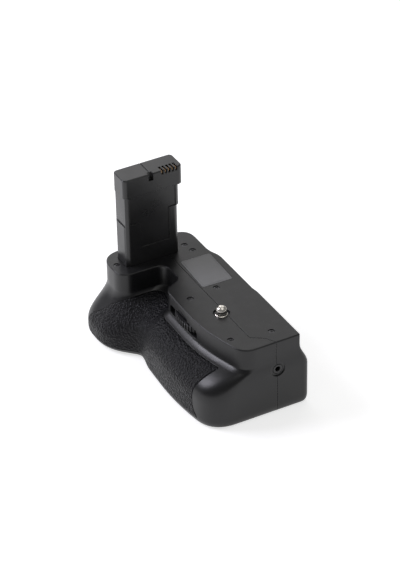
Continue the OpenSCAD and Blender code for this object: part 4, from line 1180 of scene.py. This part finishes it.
def makeJack():
    sleeve = moved(turned("cableJack", jack["profile"], 48), alongX(jackAt))
    return fuse(sleeve, softenEdges(block("jackCan", *jack["can"]), jack["canSoft"]))


setPiece(makeJack(), "case", "jack_plastic", ["cable_jack"])


# battery door on its barrel, and the slide latch in it

door = {
    "panel": ((-47.9, 31.3), (31.3, 33.2), (6.2, 25.8)), "edge": 0.35,
    "barrelAt": (31.6, 6.2), "barrelR": 1.6, "pinR": 0.85,
    "latchRecess": ((-12.3, 4.3), (32.3, 34.2), (19.9, 25.4)),
    "latchSlot": ((-9.3, -0.7), (30.3, 33.2), (23.4, 25.2)),
    "grooveXs": (-30.0, 13.4), "grooveYs": (32.9, 34.2), "grooveZs": (9.6, 11.0, 12.4), "grooveHalf": 0.25,
}
latch = {
    "slider": ((-12.0, 0.0), (32.35, 33.2), (20.2, 25.1)), "soft": 0.25,
    "ribs": 5, "ribHalf": 0.5, "ribYs": (32.9, 33.8), "ribZs": (20.8, 24.5), "ribSoft": 0.3,
    "neck": ((-9.0, -5.0), (27.4, 32.8), (23.7, 24.9)),
    "head": ((-9.0, -2.5), (27.2, 28.4), (23.72, 24.88)),
}


def makeDoor():
    xs, at = door["panel"][0], door["barrelAt"]
    panel = softenEdges(block("batteryDoor", *door["panel"]), door["edge"], 40, 3)
    fuse(panel, rodX("barrel", at, door["barrelR"], xs, 1, 40))
    cutAway(panel, rodX("bore", at, door["pinR"], grown(xs, 2 * past), 1, 24))
    cutAway(panel, *blocks(door, "latchRecess", "latchSlot"))
    grooves = [block("gripGroove", door["grooveXs"], door["grooveYs"], around(z, door["grooveHalf"]))
               for z in door["grooveZs"]]
    return cutAway(panel, gathered("gripGrooves", grooves))


def makeLatch():
    x0, x1 = latch["slider"][0]
    slider = softenEdges(block("doorLatch", *latch["slider"]), latch["soft"])
    step = (x1 - x0) / latch["ribs"]
    for k in range(latch["ribs"]):
        ribXs = around(x0 + (k + 0.5) * step, latch["ribHalf"])
        rib = block("latchRib", ribXs, latch["ribYs"], latch["ribZs"])
        fuse(slider, softenEdges(rib, latch["ribSoft"]))
    return fuse(slider, *blocks(latch, "neck", "head"))


setPiece(makeDoor(), "door", "case_plastic", ["battery_door"])
setPiece(makeLatch(), "latch", "wheel_plastic", ["door_latch"])
print("jack, door and latch set")


# base plate and the tripod socket

base = {
    "r": 3.0, "low": 2.2, "top": 3.6, "ears": 6.0, "edge": 0.3, "lap": 0.1,
    "earBoreR": 0.95, "earBoreZs": (1.0, 6.0), "ringRs": (8.6, 9.4), "ringDeep": 0.35,
    "ribXs": [start + 2.2 * k for start in (-27.0, 8.6) for k in range(6)],
    "ribYs": (-14.0, 14.0), "ribWide": 0.8, "ribDeep": 0.4,
}
socket = {
    "profile": [(0, 4.6), (2.6, 4.6), *((2.6, h) for h in climb(4.6, 0.5, 34)), (3.0, 0.0), (4.85, 0.0),
                (5.2, 0.35), (5.2, 3.6), (7.2, 3.6), (7.2, 5.2), (0, 5.2)],
    "outerR": 5.2, "thread": (1.27, 2.4, 0.1), "threadDeep": 0.4, "threadR": 2.61, "threadZs": (0.5, 4.4),
}


def makeBasePlate():
    e, low, r, boreZs = pick(base, "edge low r earBoreZs")
    plate = softBlock("basePlate", plateXs, plateYs, r, [(0, e), (e, 0), (low + base["lap"], 0)])
    earXs = grown(plateXs, base["ears"])
    fuse(plate, softBlock("baseFlange", earXs, plateYs, r, [(low, 0), (base["top"], 0)]))
    cutAway(plate, drum("socketBore", (0, 0), socket["outerR"], (-past, boreZs[1]), 64))
    (r0, r1), deep = base["ringRs"], base["ringDeep"]
    cutAway(plate, turned("ringGroove", [(r0, -past), (r1, -past), (r1, deep), (r0, deep)], 64, True))
    ribZs, half = (-past, base["ribDeep"]), base["ribWide"] / 2
    grooves = [block("plateGroove", around(x, half), base["ribYs"], ribZs) for x in base["ribXs"]]
    bores = [drum("earBore", at, base["earBoreR"], boreZs, 24) for at in baseScrews]
    return cutAway(plate, gathered("plateGrooves", grooves), gathered("earBores", bores))


def makeSocket():
    (low, high), most = pick(socket, "threadZs threadR")

    def threaded(r, h, a):
        if r > most or h < low or h > high:
            return r
        return r + socket["threadDeep"] * threadBite(h, a, *socket["thread"])

    return turned("tripodSocket", socket["profile"], 64, radius=threaded)


setPiece(makeBasePlate(), "case", "base_plastic", ["base_plate"])
setPiece(makeSocket(), "case", "brass", ["tripod_socket"], 50)


# shutter button, its lock ring and their housing, on an axis along X

shutter = {  # profiles are radius and distance along -X
    "housing": [(1.65, 80.8), (9.2, 80.8), (9.2, 81.3), (10.5, 81.3), (10.5, 82.5), (9.2, 82.5),
                *roundedRim(9.2, 87.8, 0.35, 4), (8.0, 87.8), (7.85, 87.65), (7.85, 83.6), (1.65, 83.6)],
    "prongAt": 7.0, "prongR": 1.4, "prongEnds": (76.2, 81.4),
    "ring": [(4.9, 83.65), (7.8, 83.65), (7.8, 87.8), (7.8, 87.9), (7.8, 88.65), (7.5, 89.0), (5.2, 89.0),
             (4.9, 88.7)],
    "ringSteps": 324, "serrations": 54, "serrationDeep": 0.22, "serrationShape": (0.5, 1.4),
    "serrationR": 7.75, "serrationEnds": (87.85, 88.7),
    "lever": ((-89.5, -88.1), (-19.6, -16.4), (23.6, 28.0)), "leverSoft": 0.45,
    "button": [(0, 80.4), (1.6, 80.4), (1.6, 87.4), (4.6, 87.4), *roundedRim(4.6, 89.6, 0.55, 5)],
    "face": 89.6, "dishR": 3.75, "dish": 0.4,
    "springEnds": (83.6, 87.4), "travel": 1.0,
    "coilR": 3.1, "wireR": 0.25, "wireSides": 10, "coilTurns": 3, "coilSteps": 24,
}


def makeHousing():
    cup = moved(turned("shutterHousing", shutter["housing"], 72, True), alongX(shutterAt, -1))
    for y in around(shutterAt[0], shutter["prongAt"]):
        fuse(cup, rodX("prong", (y, shutterAt[1]), shutter["prongR"], shutter["prongEnds"], -1, 20))
    return cup


def makeLockRing():
    least, (low, high), (middle, swing) = pick(shutter, "serrationR serrationEnds serrationShape")

    def serrated(r, h, a):
        if r < least or h < low or h > high:
            return r
        return r - shutter["serrationDeep"] * clip01(middle + swing * math.cos(a * shutter["serrations"]))

    ring = turned("lockRing", shutter["ring"], shutter["ringSteps"], True, serrated)
    lever = softenEdges(block("lever", *shutter["lever"]), shutter["leverSoft"], 40, 3)
    return fuse(moved(ring, alongX(shutterAt, -1)), lever)


def makeButton():
    face, r, dish = pick(shutter, "face dishR dish")
    bow = [polar(1.0, math.radians(a)) for a in range(0, 90, 15)]
    profile = shutter["button"] + [(r * x, face - dish * y) for x, y in bow] + [(0, face - dish)]
    return moved(turned("shutterButton", profile, 64), alongX(shutterAt, -1))


def makeSpring():
    wire, steps, turns, (low, high) = pick(shutter, "wireR coilSteps coilTurns springEnds")
    start, end, count = -high + wire, -low - wire, steps * turns
    rings = []
    for k in range(count + 1):
        turn, x = 2 * math.pi * k / steps, mix(start, end, k / count)
        ring = []
        for out, along in (polar(wire, b) for b in fullTurn(shutter["wireSides"])):
            y, z = polar(shutter["coilR"] + out, turn)
            ring.append((x + along, shutterAt[0] + y, shutterAt[1] + z))
        rings.append(ring)
    return stacked("shutterSpring", rings)


def setSpring():
    obj = setPiece(makeSpring(), "case", "screw_steel", ["shutter_spring"], 60)
    low, high = shutter["springEnds"]
    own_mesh(obj)


setPiece(makeHousing(), "case", "inner_plastic", ["shutter_housing"])
setPiece(makeLockRing(), "ring", "control_metal", ["lock_ring"], 30)
setPiece(makeButton(), "button", "control_metal", ["shutter_button"])
setSpring()
print("base and shutter set")


# every CAD piece that stays gets the finish of its slot

slotOf = {part["node"]: part["material_slot"] for part in frame["record"]["subparts"]}
slotOf["stud_bush"] = "bush_painted_shade"  # darkened to paint a shadow ring around the stud
kept = [name for name, obj in frame["nodes"].items() if not obj.hide_render]
for name in kept:
    mesh = frame["nodes"][name].data
    mesh.materials.clear()
    mesh.materials.append(finishes[slotOf[name]])
print("kept CAD pieces dressed:", ", ".join(sorted(kept)))
